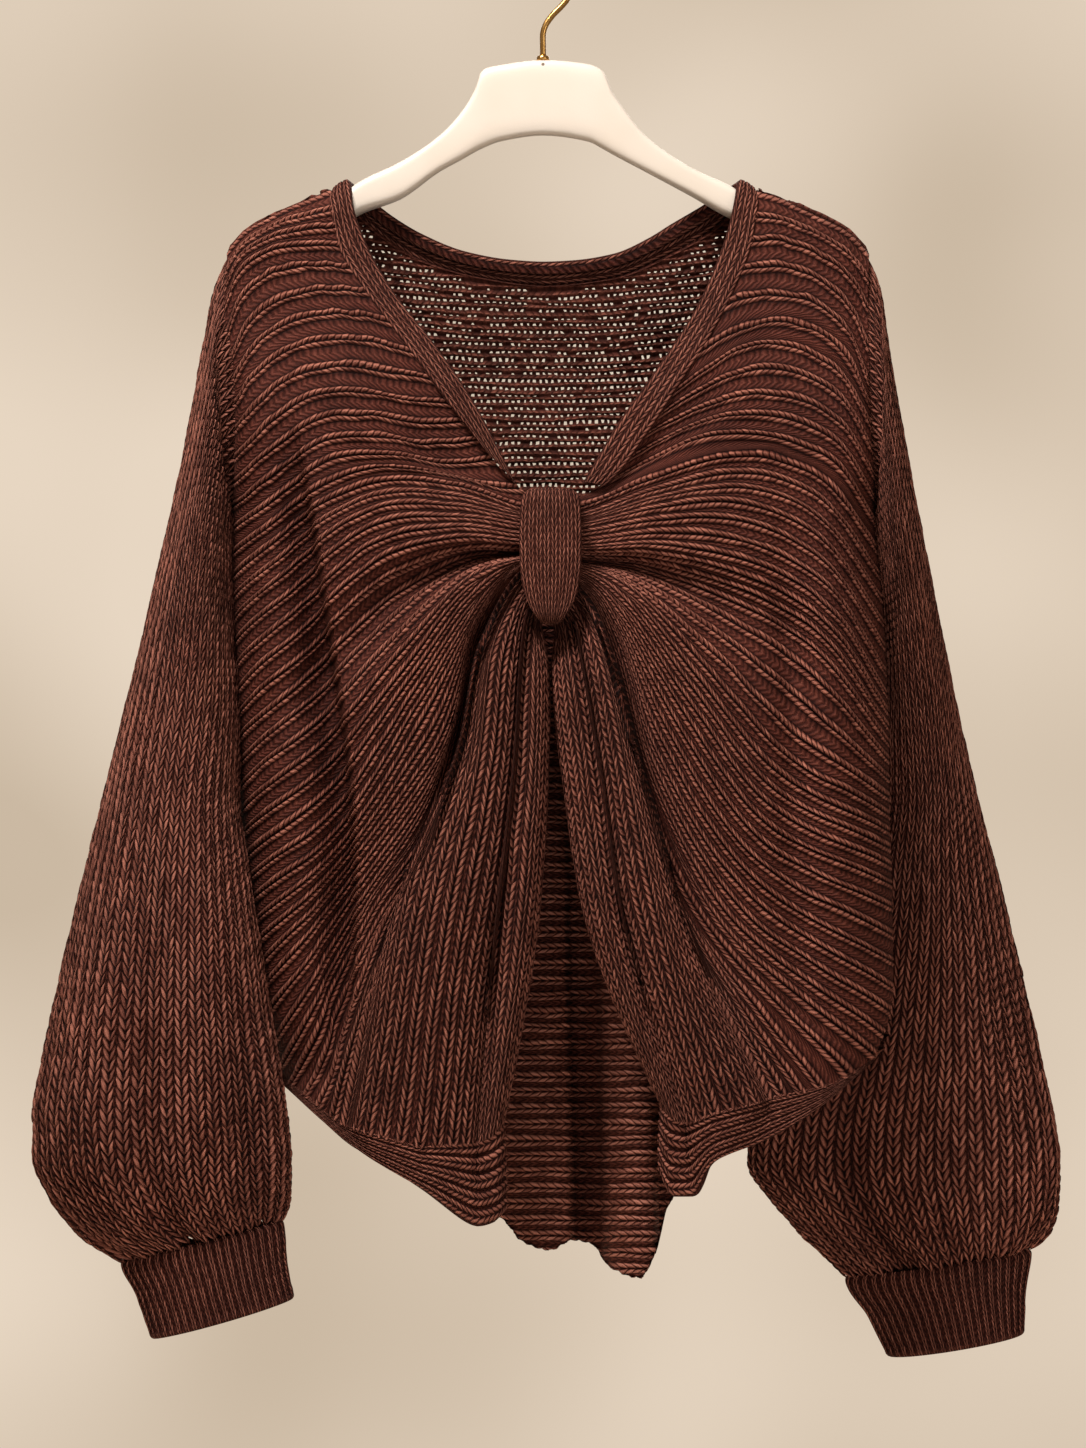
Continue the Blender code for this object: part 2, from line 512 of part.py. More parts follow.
def neckband(name, material, gap=1.2):
    """The band from the loop up the right front, round the back of the neck and down the left front."""
    lines = []
    for ribs, table in ((RIGHT_RIBS, RIGHT_NECKBAND), (LEFT_RIBS, LEFT_NECKBAND)):
        t = columns_of(("rib", "free_x", "free_z"), table)
        at = stations_of(ribs)
        at = at[(at > 0) & (at <= t["rib"][-1])]
        seam = front_sheet(ribs, at, np.array([0.0, 0.001]))[:, 0, :2]
        free = through(t["rib"], np.stack([t["free_x"], t["free_z"]], 1), at)
        seam = toward(seam, free, gap)
        pair = [placed(e[:, 0], e[:, 1], body_depth(e[:, 0], e[:, 1], -1)) for e in (seam, free)]
        lines.append(pair)
    t = columns_of(BACK_NECK_COLUMNS, BACK_NECK)
    seam = np.stack([t["seam_column"], through(top["column"], top["back"], t["seam_column"])], 1)
    free = np.stack([t["free_x"], t["free_z"]], 1)
    seam = toward(seam, free, gap * 2.3)
    behind = [placed(e[:, 0], e[:, 1], body_depth(e[:, 0], e[:, 1], 1)) for e in (seam, free)]
    peaks = [
        (placed(333, 189.6, 0)[None], placed(349, 180, 0)[None]),
        (placed(755, 189.6, 0)[None], placed(739, 180, 0)[None]),
    ]
    (right, left) = lines
    edges = [
        np.concatenate([right[k][::-1], peaks[0][k], behind[k], peaks[1][k], left[k]]) for k in (0, 1)
    ]
    strip(name, edges[0], edges[1], material)


def hem_band(name, built, table, material):
    """The band sewn under a front's end, from the side round to the opening."""
    stations, sheet, outer = built
    t = columns_of(HEM_COLUMNS, table)
    chosen = stations >= t["rib"][0]
    seam = outer[chosen, -1] + np.array([0, 0, -1.2]) / 1000
    low = through(t["rib"], np.stack([t["low_x"], t["low_z"], t["depth"]], 1), stations[chosen])
    free = placed(low[:, 0], low[:, 1], body_depth(low[:, 0], low[:, 1], -1) + low[:, 2])
    strip(name, seam, free, material, bulge=0.6)


def front_loop(name, material):
    """The knitted loop that gathers both fronts: a face that turns in over the gather and under it."""
    high, foot = (LOOP_TOP - EYE_ROW) * GRID, (LOOP_FOOT - EYE_ROW) * GRID
    round_in = 9.0
    profile = [(LOOP_FRONT + LOOP_TOP_RETURN, high + 1.5)]
    for k in range(5):
        a = math.pi / 2 * (k / 4)
        profile.append((LOOP_FRONT + round_in * (1 - math.sin(a)), high + round_in * (1 - math.cos(a))))
    for k in (0.3, 0.55, 0.8):
        z = high + round_in + k * (foot - high - 2 * round_in)
        profile.append((LOOP_FRONT - 1.5 * math.sin(math.pi * k), z))
    for k in range(5):
        a = math.pi / 2 * (k / 4)
        profile.append((LOOP_FRONT + round_in * (1 - math.cos(a)), foot - round_in * (1 - math.sin(a))))
    profile.append((LOOP_FRONT + LOOP_FOOT_RETURN, foot - 1.0))
    profile = np.array(profile)
    away = np.gradient(profile, axis=0)
    away = unit(np.stack([away[:, 1], -away[:, 0]], 1))
    if away[7, 0] > 0:
        away = -away
    sheets = []
    for inset in (0.0, CLOTH):
        edge = profile - away * inset
        grid = []
        for share, back_off, narrow in ((0, 4.5, 2.5), (0.1, 1.2, 0.6), (0.5, 0, 0), (0.9, 1.2, 0.6), (1, 4.5, 2.5)):
            column = LOOP_LEFT + share * (LOOP_RIGHT - LOOP_LEFT)
            depth = edge[:, 0] + back_off
            row = EYE_ROW + edge[:, 1] / GRID
            middle = (LOOP_TOP + LOOP_FOOT) / 2
            row = middle + (row - middle) * (1 - narrow / ((LOOP_FOOT - LOOP_TOP) / 2))
            grid.append(placed(column, row, depth))
        sheets.append(np.array(grid))
    wall(name, sheets[0], sheets[1], material)


# ---------------------------------------------------------------- sleeves and cuffs
def ring_points(t, sides):
    """Oval rings from a table: from each outer point round the front to the inner point and back behind."""
    angle = np.linspace(0, 2 * math.pi, sides, endpoint=False)[None, :, None]
    outer = placed(t["outer_x"], t["outer_z"], t["middle"])
    inner = placed(t["inner_x"], t["inner_z"], t["middle"])
    centre, half = (outer + inner)[:, None] / 2, (outer - inner)[:, None] / 2
    forward = np.zeros_like(half)
    forward[..., 1] = -t["half_depth"][:, None] / 1000
    return centre + half * np.cos(angle) + forward * np.sin(angle)


def armhole_ring(edge, sign, sides):
    """The armhole's loop on the body's side, a little outside it."""
    angle = np.linspace(0, 2 * math.pi, sides, endpoint=False)
    middle, half = (ARMHOLE_TOP + ARMHOLE_FOOT) / 2, (ARMHOLE_FOOT - ARMHOLE_TOP) / 2
    row = middle - half * np.cos(angle)
    column = through(side["row"], side[edge], row) + sign * 1.8
    return placed(column, row, -ARMHOLE_HALF_DEPTH * np.sin(angle))


def tube(name, rings, material, flat_start=False):
    """A cloth tube through the rings."""
    around = (np.roll(rings, -1, 1) - np.roll(rings, 1, 1))
    facing = unit(np.cross(np.gradient(rings, axis=0), around))
    centre = rings.mean(1, keepdims=True)
    if np.mean(np.sum(facing * (rings - centre), -1)) < 0:
        facing = -facing
    inner = rings - facing * CLOTH / 1000
    if flat_start:
        inner[0, :, 0] = rings[0, :, 0]
    return wall(name, rings, inner, material, ring=True)


def sleeve(name, table, edge, sign, material):
    t = columns_of(RING_COLUMNS, table)
    rings = np.concatenate([armhole_ring(edge, sign, SLEEVE_SIDES)[None], ring_points(t, SLEEVE_SIDES)])
    tube(name, rings, material, flat_start=True)


# ---------------------------------------------------------------- hanger and hook
def solid_loft(name, rings, material):
    """A solid through rings of points, closed at both ends."""
    rows, cols = rings.shape[:2]
    faces = []
    for r in range(rows - 1):
        for c in range(cols):
            a, b = r * cols + c, r * cols + (c + 1) % cols
            faces.append((a, b, b + cols, a + cols))
    faces.append(tuple(reversed(range(cols))))
    faces.append(tuple(range((rows - 1) * cols, rows * cols)))
    points = rings.reshape(-1, 3)
    a, b, c, d = (points[i] for i in faces[0])
    if np.dot(np.cross(c - a, d - b), a - rings[0].mean(0)) < 0:
        faces = [face[::-1] for face in faces]
    return finish(name, points, faces, material)


def hanger_body(name, material):
    """The wide contoured hanger: rounded sections from one shoulder to the other."""
    angle = np.linspace(0, 2 * math.pi, HANGER_SIDES, endpoint=False)
    rings = []
    for column, high, foot, half_thick, square in zip(*(hanger[k] for k in HANGER_COLUMNS)):
        across = np.sign(np.cos(angle)) * np.abs(np.cos(angle)) ** (2 / square)
        up = np.sign(np.sin(angle)) * np.abs(np.sin(angle)) ** (2 / square)
        z = (CREST_ROW - (high + foot) / 2) * GRID + up * (foot - high) / 2 * GRID
        rings.append(np.stack([np.full_like(z, (column - AXIS_COLUMN) * GRID), across * half_thick, z], 1) / 1000)
    solid_loft(name, np.array(rings), material)


def round_bar(name, path, radius, sides, material):
    """A round bar along a path in the plane Y = 0, in millimetres."""
    path = np.asarray(path, float)
    run = unit(np.gradient(path, axis=0))
    angle = np.linspace(0, 2 * math.pi, sides, endpoint=False)
    rings = []
    for (x, z), (tx, tz) in zip(path, run):
        rings.append(np.stack([x + radius * np.cos(angle) * tz, radius * np.sin(angle), z - radius * np.cos(angle) * tx], 1) / 1000)
    return solid_loft(name, np.array(rings), material)


def hook_path():
    """Up from the ferrule, bent out to the +X side, over the crest and down to the tip on the -X side."""
    foot = (CREST_ROW - 56) * GRID + 0.5
    middle_z = WIRE_RADIUS - HOOK_RADIUS
    stem = [(0, foot), (0, foot + 7), (0, foot + 13.5), (1.6, foot + 19.5), (6.4, foot + 26.5), (11.8, foot + 32.0)]
    arc = [
        (HOOK_RADIUS * math.cos(math.radians(a)), middle_z + HOOK_RADIUS * math.sin(math.radians(a)))
        for a in range(-18, 206, 14)
    ]
    return bend_through(stem + arc, 34)


# ---------------------------------------------------------------- materials and the empty that carries the pieces
def paint(name, colour, roughness, metallic=0.0):
    material = bpy.data.materials.new(name)
    material.use_nodes = True
    shader = material.node_tree.nodes["Principled BSDF"]
    shader.inputs["Base Color"].default_value = colour
    shader.inputs["Roughness"].default_value = roughness
    shader.inputs["Metallic"].default_value = metallic
    material.diffuse_color = colour
    return material


for old in list(bpy.data.objects):
    bpy.data.objects.remove(old, do_unlink=True)
rig = bpy.data.objects.new("hook_crest", None)
bpy.context.scene.collection.objects.link(rig)

sweater = {
    piece: paint(piece + "_knit", SWEATER_BROWN, 0.8)
    for piece in ("front_left", "front_right", "back", "sleeve_left", "sleeve_right")
}
bands = {
    piece: paint(piece + "_knit", BAND_BROWN, 0.8)
    for piece in ("neckband", "front_loop", "hem_front_left", "hem_front_right", "cuff_left", "cuff_right")
}

built_left = front("front_left", LEFT_RIBS, sweater["front_left"])
built_right = front("front_right", RIGHT_RIBS, sweater["front_right"])
back("back", sweater["back"])
neckband("neckband", bands["neckband"])
hem_band("hem_front_left", built_left, LEFT_HEM, bands["hem_front_left"])
hem_band("hem_front_right", built_right, RIGHT_HEM, bands["hem_front_right"])
front_loop("front_loop", bands["front_loop"])
sleeve("sleeve_left", LEFT_SLEEVE, "left", 1, sweater["sleeve_left"])
sleeve("sleeve_right", RIGHT_SLEEVE, "right", -1, sweater["sleeve_right"])
tube("cuff_left", ring_points(columns_of(CUFF_RING_COLUMNS, LEFT_CUFF), CUFF_SIDES), bands["cuff_left"])
tube("cuff_right", ring_points(columns_of(CUFF_RING_COLUMNS, RIGHT_CUFF), CUFF_SIDES), bands["cuff_right"])

hanger_body("hanger_body", paint("hanger_white", HANGER_WHITE, 0.38))
ferrule_foot, ferrule_top = (CREST_ROW - 61) * GRID + 0.35, (CREST_ROW - 56) * GRID + 0.2
round_bar("hanger_ferrule", [(0, ferrule_foot), (0, ferrule_top)], FERRULE_RADIUS, 20, paint("ferrule_brass", BRASS, 0.3, 1.0))
round_bar("hanger_hook", hook_path(), WIRE_RADIUS, 12, paint("hook_brass", BRASS, 0.3, 1.0))
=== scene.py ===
# Twist front knit top on a wide shoulder hanger: the knitted cloth, stitch by stitch, over the part's own form.
import math

import bpy
import numpy as np
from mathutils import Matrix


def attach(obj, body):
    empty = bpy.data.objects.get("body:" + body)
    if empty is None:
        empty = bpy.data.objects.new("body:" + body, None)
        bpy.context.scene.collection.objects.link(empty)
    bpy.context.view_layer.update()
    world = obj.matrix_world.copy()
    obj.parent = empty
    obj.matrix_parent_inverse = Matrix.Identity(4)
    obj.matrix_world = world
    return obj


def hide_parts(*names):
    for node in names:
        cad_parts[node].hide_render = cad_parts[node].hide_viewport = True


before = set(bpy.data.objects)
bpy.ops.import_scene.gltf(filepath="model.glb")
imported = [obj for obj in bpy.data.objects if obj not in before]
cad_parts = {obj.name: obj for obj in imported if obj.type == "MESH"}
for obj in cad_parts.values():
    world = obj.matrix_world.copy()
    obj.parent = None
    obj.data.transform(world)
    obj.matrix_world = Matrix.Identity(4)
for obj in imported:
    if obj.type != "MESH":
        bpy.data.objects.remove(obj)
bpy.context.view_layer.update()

# ---------------------------------------------------------------- sizes, millimetres
GRID = 0.66            # one step of the ruled sheet
AXIS_COLUMN = 543.0    # sheet column of the plane X = 0
CREST_ROW = -33.0      # sheet row of the hook's inner crest, Z = 0
EYE_ROW = 724.0        # sheet row level with the eye
VIEW = 2200.0          # distance of the eye from the plane Y = 0
CLOTH = 3.0            # thickness of the knitted walls
SEAM_GAP = 0.35        # space between two pieces at a seam

ARMHOLE_TOP, ARMHOLE_FOOT = 254.0, 500.0   # sheet rows of the armhole's ends
ARMHOLE_HALF_DEPTH = 26.0                  # millimetres front or back of the seam line

LOOP_LEFT, LOOP_RIGHT = 519.0, 582.0       # sheet columns of the front loop's sides
LOOP_TOP, LOOP_FOOT = 488.0, 625.0         # sheet rows of its ends
LOOP_FRONT = -70.0                         # depth of its face
LOOP_TOP_RETURN, LOOP_FOOT_RETURN = 17.0, 14.0   # how far it turns in over the top and under the foot

LOOP_OUTLINE_COLUMNS = ("row", "half")     # half its width at a sheet row
LOOP_OUTLINE = ((488, 27.5), (500, 29.8), (520, 31), (540, 31.3), (565, 30.6), (585, 28.4), (600, 25.2), (610, 21.5), (618, 17), (625, 11))

WIRE_RADIUS = 2.05
HOOK_RADIUS = 17.2     # of the bend, to the wire's middle
FERRULE_RADIUS, FERRULE_HEIGHT = 4.2, 3.4

# ---------------------------------------------------------------- tables on the ruled sheet
# A body level: how far the front and the back stand from Y = 0, where the side seams lie, and how far in the round of a side reaches.
LEVEL_COLUMNS = ("row", "front", "back", "seam_right", "seam_left", "round")
LEVELS = (
    (184, 20, 20, 0, 0, 14),
    (300, 36, 34, 0, 0, 16),
    (420, 46, 40, 0, 0, 22),
    (556, 50, 42, 0, 0, 38),
    (700, 52, 42, 4, -3, 44),
    (850, 52, 40, 12, -10, 46),
    (1000, 50, 38, 20, -18, 46),
    (1150, 46, 36, 24, -22, 46),
    (1290, 44, 36, 24, -22, 46),
)

# The outline down each side of the body.
SIDE_COLUMNS = ("row", "right", "left")
SIDES = (
    (253, 227, 869),
    (270, 224, 872),
    (308, 225, 868),
    (356, 232, 868),
    (404, 235, 870),
    (458, 236, 874),
    (560, 236, 879),
    (640, 236, 885),
    (743, 237, 889),
    (860, 242, 892),
    (1000, 256, 893),
    (1040, 266, 888),
    (1073, 276, 872),
)

# The line over the shoulders and round the back of the neck.
TOP_COLUMNS = ("column", "shoulder", "back", "over_arm")
TOP = (
    (227, 253, 253, 20),
    (250, 229, 229, 20.5),
    (300, 204, 204, 20),
    (331, 191, 191, 18),
    (348, 180, 206, 16.5),
    (382, 180, 237, 14.5),
    (420, 180, 260, 13.5),
    (480, 180, 277, 12.5),
    (543, 180, 285, 12.5),
    (610, 180, 278, 12.5),
    (670, 180, 254, 13.5),
    (710, 180, 231, 14.5),
    (740, 180, 204, 16.5),
    (757, 191, 191, 18),
    (800, 208, 208, 20),
    (845, 231, 231, 20.5),
    (869, 254, 254, 20),
)

# One knitted rib or fold of a front: its number counted down from the shoulder, six points from the neck or the
# loop to the side or the hem, and how far it stands behind (+) or before (-) the body's round.
RIB_COLUMNS = (
    "rib", "root_x", "root_z", "gate_x", "gate_z", "near_x", "near_z",
    "mid_x", "mid_z", "far_x", "far_z", "end_x", "end_z",
    "gate_y", "near_y", "far_y", "end_y",
)
LEFT_RIBS = {
    "shoulder":    (0,  757, 191, 775, 197, 797, 207, 820, 218, 848, 233, 869, 254,   0,   0,   0,   0),
    "yoke":        (2,  749, 241, 775, 240, 800, 246, 830, 261, 853, 281, 868, 308,   0,   0,   0,   0),
    "chest_high":  (4,  724, 304, 752, 297, 780, 295, 815, 303, 847, 330, 869, 382,   0,   0,   0,   0),
    "chest":       (6,  667, 398, 705, 370, 750, 346, 795, 348, 840, 374, 871, 425,   1,   0,   0,   0),
    "chest_low":   (8,  640, 438, 685, 414, 742, 396, 792, 397, 840, 422, 875, 476,   4,   0,   0,   0),
    "beside_band": (10, 602, 485, 645, 462, 705, 438, 774, 437, 835, 463, 878, 526,   5,  -2,   0,   0),
    "bundle_top":  (11, 546, 512, 586, 505, 655, 478, 742, 456, 820, 478, 879, 552,   0,  -3,   0,   0),
    "bundle":      (14, 546, 526, 586, 524, 655, 509, 735, 503, 810, 531, 884, 623,   0,  -5,  -3,   0),
    "bundle_low":  (17, 546, 545, 586, 547, 655, 545, 740, 559, 815, 597, 887, 695,   1,  -5,  -3,   0),
    "notch":       (20, 546, 554, 586, 559, 636, 566, 715, 594, 805, 642, 889, 743,  15,  12,   1,   0),
    "lobe_a":      (24, 546, 564, 586, 567, 630, 590, 702, 664, 785, 755, 890, 815,   1,  -9,  -5,   0),
    "lobe_a_low":  (28, 550, 563, 590, 579, 622, 614, 682, 711, 766, 823, 892, 885,   2,  -3,  -3,   0),
    "shade_a":     (32, 554, 566, 593, 592, 619, 638, 657, 753, 748, 895, 893, 988,   3,   8,   4,   0),
    "corner":      (35, 555, 567, 591, 596, 614, 648, 657, 803, 727, 932, 876, 1055,  4,  13,   7,   1),
    "hem_outer":   (37, 556, 568, 589, 599, 611, 653, 666, 868, 709, 946, 822, 1089,  5,  15,   8,   1),
    "lobe_b_foot": (40, 557, 570, 587, 602, 609, 656, 640, 770, 694, 948, 768, 1100,  6,  16,   9,   1),
    "lobe_b":        (45, 554, 580, 584, 610, 601, 654, 625, 765, 660, 930, 714, 1112, 0, -13, -16, -10),
    "crease_bc":     (49, 549, 594, 571, 616, 583, 665, 600, 765, 627, 935, 685, 1124, 12, 14, 12, 4),
    "lobe_c":        (52, 546, 607, 560, 619, 568, 668, 583, 770, 610, 935, 672, 1118, 7, -8, -12, -6),
    "front_edge":    (55, 546, 613, 554, 627, 553, 675, 562, 770, 592, 940, 662, 1109, 15, 15, 12, 6),
}
RIGHT_RIBS = {
    "shoulder":    (0,  331, 191, 314, 198, 292, 208, 270, 218, 245, 233, 227, 253,   0,   0,   0,   0),
    "yoke":        (3,  342, 246, 315, 245, 290, 246, 265, 253, 240, 271, 224, 308,   0,   0,   0,   0),
    "chest_high":  (5,  370, 292, 342, 290, 312, 291, 280, 299, 250, 321, 232, 356,   0,   0,   0,   0),
    "chest":       (7,  417, 354, 375, 341, 330, 339, 292, 348, 258, 372, 235, 404,   1,   0,   0,   0),
    "chest_low":   (9,  452, 402, 405, 398, 360, 392, 310, 397, 268, 424, 236, 458,   4,   0,   0,   0),
    "beside_band": (12, 492, 458, 445, 462, 390, 455, 340, 457, 285, 489, 236, 530,   5,  -2,   0,   0),
    "bundle_top":  (14, 540, 512, 517, 506, 455, 486, 380, 482, 305, 515, 236, 578,   0,  -3,   0,   0),
    "bundle":      (16, 540, 524, 517, 518, 455, 507, 380, 508, 305, 555, 236, 622,   0,  -5,  -3,   0),
    "bundle_low":  (19, 540, 543, 517, 541, 460, 538, 385, 557, 310, 621, 237, 694,   1,  -5,  -3,   0),
    "notch":       (21, 540, 551, 517, 552, 468, 556, 398, 592, 312, 672, 237, 742,  17,  15,   2,   0),
    "lobe_a":      (24, 540, 560, 517, 560, 470, 580, 400, 655, 325, 741, 239, 814,   1,  -9,  -5,   0),
    "lobe_a_low":  (28, 536, 557, 509, 570, 481, 602, 418, 706, 340, 828, 246, 908,   2,  -3,  -3,   0),
    "shade_a":     (32, 533, 559, 505, 580, 476, 625, 444, 746, 352, 880, 256, 1000,  3,   8,   4,   0),
    "corner":      (35, 532, 560, 506, 583, 479, 636, 424, 820, 370, 902, 277, 1073,  4,  13,   7,   1),
    "hem_outer":   (38, 531, 561, 507, 585, 481, 642, 430, 850, 388, 918, 318, 1107,  5,  15,   9,   1),
    "lobe_b_foot": (40, 530, 562, 508, 588, 481, 647, 459, 752, 391, 925, 346, 1127,  6,  16,   9,   0),
    "lobe_b":        (46, 533, 572, 512, 602, 493, 652, 480, 760, 447, 920, 420, 1146, 0, -13, -15, -9),
    "crease_bc":     (51, 538, 590, 527, 614, 521, 655, 514, 765, 495, 935, 477, 1143, 12, 14, 12, 4),
    "lobe_c":        (54, 540, 607, 535, 617, 536, 665, 534, 770, 520, 940, 491, 1136, 7, -8, -12, -6),
    "front_edge":    (57, 540, 613, 541, 625, 548, 675, 547, 790, 536, 940, 503, 1126, 15, 15, 12, 6),
}

# Folds that hang as tubes: from a crease, round to a crest.
TUBE_COLUMNS = ("crease", "crest", "turn")     # turn: how far round the tube reaches to its crease near the loop, degrees
TUBES = (("lobe_b_foot", "lobe_b", 116), ("crease_bc", "lobe_b", 112), ("crease_bc", "lobe_c", 112), ("front_edge", "lobe_c", 90))

# The long fold down each outer front: its edge's column at a row, and how strongly it stands there.
LONG_FOLD_COLUMNS = ("row", "edge", "strength")
LONG_FOLDS = {
    "right": ((400, 300, 0), (440, 304, 0.15), (480, 310, 0.45), (547, 322, 0.85), (647, 337, 1), (780, 356, 1), (880, 361, 1), (980, 359, 0.9), (1047, 349, 0.5), (1100, 335, 0)),
    "left": ((480, 792, 0), (547, 798, 0.4), (640, 803, 1), (740, 806, 1), (840, 807, 0.9), (950, 812, 0.5), (1040, 816, 0)),
}

# The neckband's free edge at the height of a rib's root, and the outline of a hem band under a rib's end.
BAND_COLUMNS = ("rib", "free_x", "free_z")
LEFT_NECKBAND = ((0, 739, 180), (1.2, 734, 204), (2, 728, 230), (4, 702, 297), (6, 652, 376), (8, 620, 421), (10, 584, 482))
RIGHT_NECKBAND = ((0, 349, 180), (1.5, 353, 206), (3, 363, 236), (5, 391, 288), (7, 436, 346), (9, 470, 396), (12, 515, 482))
BACK_NECK_COLUMNS = ("seam_column", "free_x", "free_z")
BACK_NECK = (
    (335.5, 352, 182.5), (339, 355, 186), (349, 364, 194), (364, 378, 206), (384, 394, 218), (415, 421, 234), (465, 466, 252),
    (510, 510, 260), (545, 544, 262), (577, 575, 260.5), (618, 614, 254), (654, 648, 239), (682, 671, 225), (712, 700, 208),
    (732, 717, 197), (746, 728, 189), (752.5, 734, 183.5),
)
HEM_COLUMNS = ("rib", "low_x", "low_z", "depth")
LEFT_HEM = ((35, 873, 1062, 1), (37, 818, 1109, 2), (40, 766, 1140, 0), (45, 712, 1165, -9), (49, 692, 1196, -2), (52, 673, 1197, 2), (55, 659, 1172, 8))
RIGHT_HEM = ((35, 279, 1081, 2), (38, 322, 1121, 1), (40, 352, 1146, 0), (46, 424, 1191, -8), (51, 478, 1226, 0), (54, 495, 1222, 0), (57, 506, 1212, 6))

# The back's hem, and its two folds that stand forward in the middle.
BACK_HEM_COLUMNS = ("column", "row")
BACK_HEM = (
    (240, 1035), (300, 1078), (360, 1122), (420, 1163), (470, 1198), (503, 1218), (522, 1240), (550, 1249),
    (573, 1239), (592, 1243), (610, 1266), (640, 1277), (654, 1255), (668, 1204), (700, 1170), (745, 1130), (800, 1098), (850, 1062), (889, 1030),
)
BACK_FOLD_COLUMNS = ("column", "half_width", "forward")
BACK_FOLDS = {
    "crest_right": (545, 22, 17),
    "valley":      (588, 14, -7),
    "crest_left":  (631, 22, 20),
}
BACK_FOLDS_START, BACK_FOLDS_FULL = 760.0, 1180.0   # sheet rows

# A sleeve ring: its outer and inner points as seen, its middle's depth and its half depth.
RING_COLUMNS = ("outer_x", "outer_z", "inner_x", "inner_z", "middle", "half_depth")
RIGHT_SLEEVE = {
    "head":       (217, 284, 226.5, 512,   0, 29),
    "head_low":   (208, 325, 225, 530,    -2, 33),
    "arm_high":   (196, 392, 223.5, 552,  -5, 37),
    "arm":        (180, 475, 223, 590,    -8, 41),
    "arm_low":    (160, 563, 225, 640,   -12, 44),
    "elbow":      (137, 662, 230, 708,   -18, 46),
    "fore_high":  (112, 763, 239, 790,   -26, 46),
    "fore":       (88, 860, 248, 866,    -34, 46),
    "fore_low":   (65, 955, 261, 948,    -41, 46),
    "full_high":  (46, 1045, 275, 1035,  -46, 45),
    "full":       (33, 1115, 286, 1105,  -48, 43),
    "turn":       (33, 1158, 291, 1160,  -48, 40),
    "gather":     (48, 1194, 291, 1188,  -48, 35),
    "gather_low": (78, 1233, 288, 1208,  -48, 28),
    "cuff_seam":  (121.7, 1262.2, 282.8, 1222.2, -48, 19),
}
LEFT_SLEEVE = {
    "head":       (878, 286, 882, 514,     0, 29),
    "head_low":   (885, 330, 884, 534,     2, 33),
    "arm_high":   (896, 395, 886, 558,     5, 37),
    "arm":        (910, 475, 889, 594,    14, 41),
    "arm_low":    (927, 562, 892, 640,    27, 40),
    "elbow":      (947, 662, 890, 706,    44, 39),
    "fore_high":  (969, 762, 874, 790,    60, 38),
    "fore":       (993, 858, 848, 870,    69, 37),
    "fore_low":   (1017, 955, 818, 955,   75, 36),
    "full_high":  (1039, 1050, 784, 1045, 78, 36),
    "full":       (1055, 1122, 755, 1112, 79, 35),
    "turn":       (1060, 1168, 748, 1162, 79, 34),
    "gather":     (1057, 1205, 765, 1193, 78, 32),
    "gather_low": (1047, 1233, 797, 1230, 77, 27),
    "cuff_seam":  (1031, 1251.2, 845.8, 1279.2, 77, 19),
}
CUFF_RING_COLUMNS = RING_COLUMNS
RIGHT_CUFF = {
    "seam":  (122, 1263, 283, 1223, -48, 19),
    "upper": (136, 1292, 286, 1260, -48, 20),
    "edge":  (152, 1337, 293, 1297, -48, 21),
}
LEFT_CUFF = {
    "seam":  (1031, 1252, 846, 1280, 77, 19),
    "upper": (1025, 1290, 867, 1314, 77, 20),
    "edge":  (1023, 1332, 888, 1355, 77, 21),
}

# A section across the hanger's body: its top, its foot, its half thickness in millimetres and how square it is.
HANGER_COLUMNS = ("column", "top", "foot", "half_thick", "square")
HANGER = (
    (248, 250, 260, 6, 2), (256, 241, 264, 10, 2), (280, 223.5, 262, 14, 2), (320, 205.5, 241, 13, 2), (345, 193, 224, 11, 2),
    (360, 182.5, 214, 10, 2.2), (400, 163, 199, 8, 2.4), (440, 136, 171, 7, 2.6), (462, 112, 159, 7, 2.6),
    (476, 88, 151, 7, 2.6), (482, 71, 148, 7, 2.6), (500, 66, 141, 7, 2.6), (543, 61, 135, 7, 2.6), (588, 65, 141, 7, 2.6),
    (604, 73, 149, 7, 2.6), (611, 90, 153, 7, 2.6), (624, 110, 160, 7, 2.6), (645, 136, 171, 7, 2.6),
    (690, 168, 195, 8, 2.4), (733, 188.5, 219, 10, 2.2), (744, 196, 223, 11, 2), (780, 209.5, 245, 13, 2), (820, 229, 262, 14, 2),
    (842, 245, 264, 10, 2), (850, 253, 262, 6, 2),
)


# ---------------------------------------------------------------- reading a table and bending curves
def columns_of(names, rows):
    """A table's columns as arrays, by name."""
    values = np.array(list(rows.values()) if isinstance(rows, dict) else rows, float)
    return {name: values[:, i] for i, name in enumerate(names)}


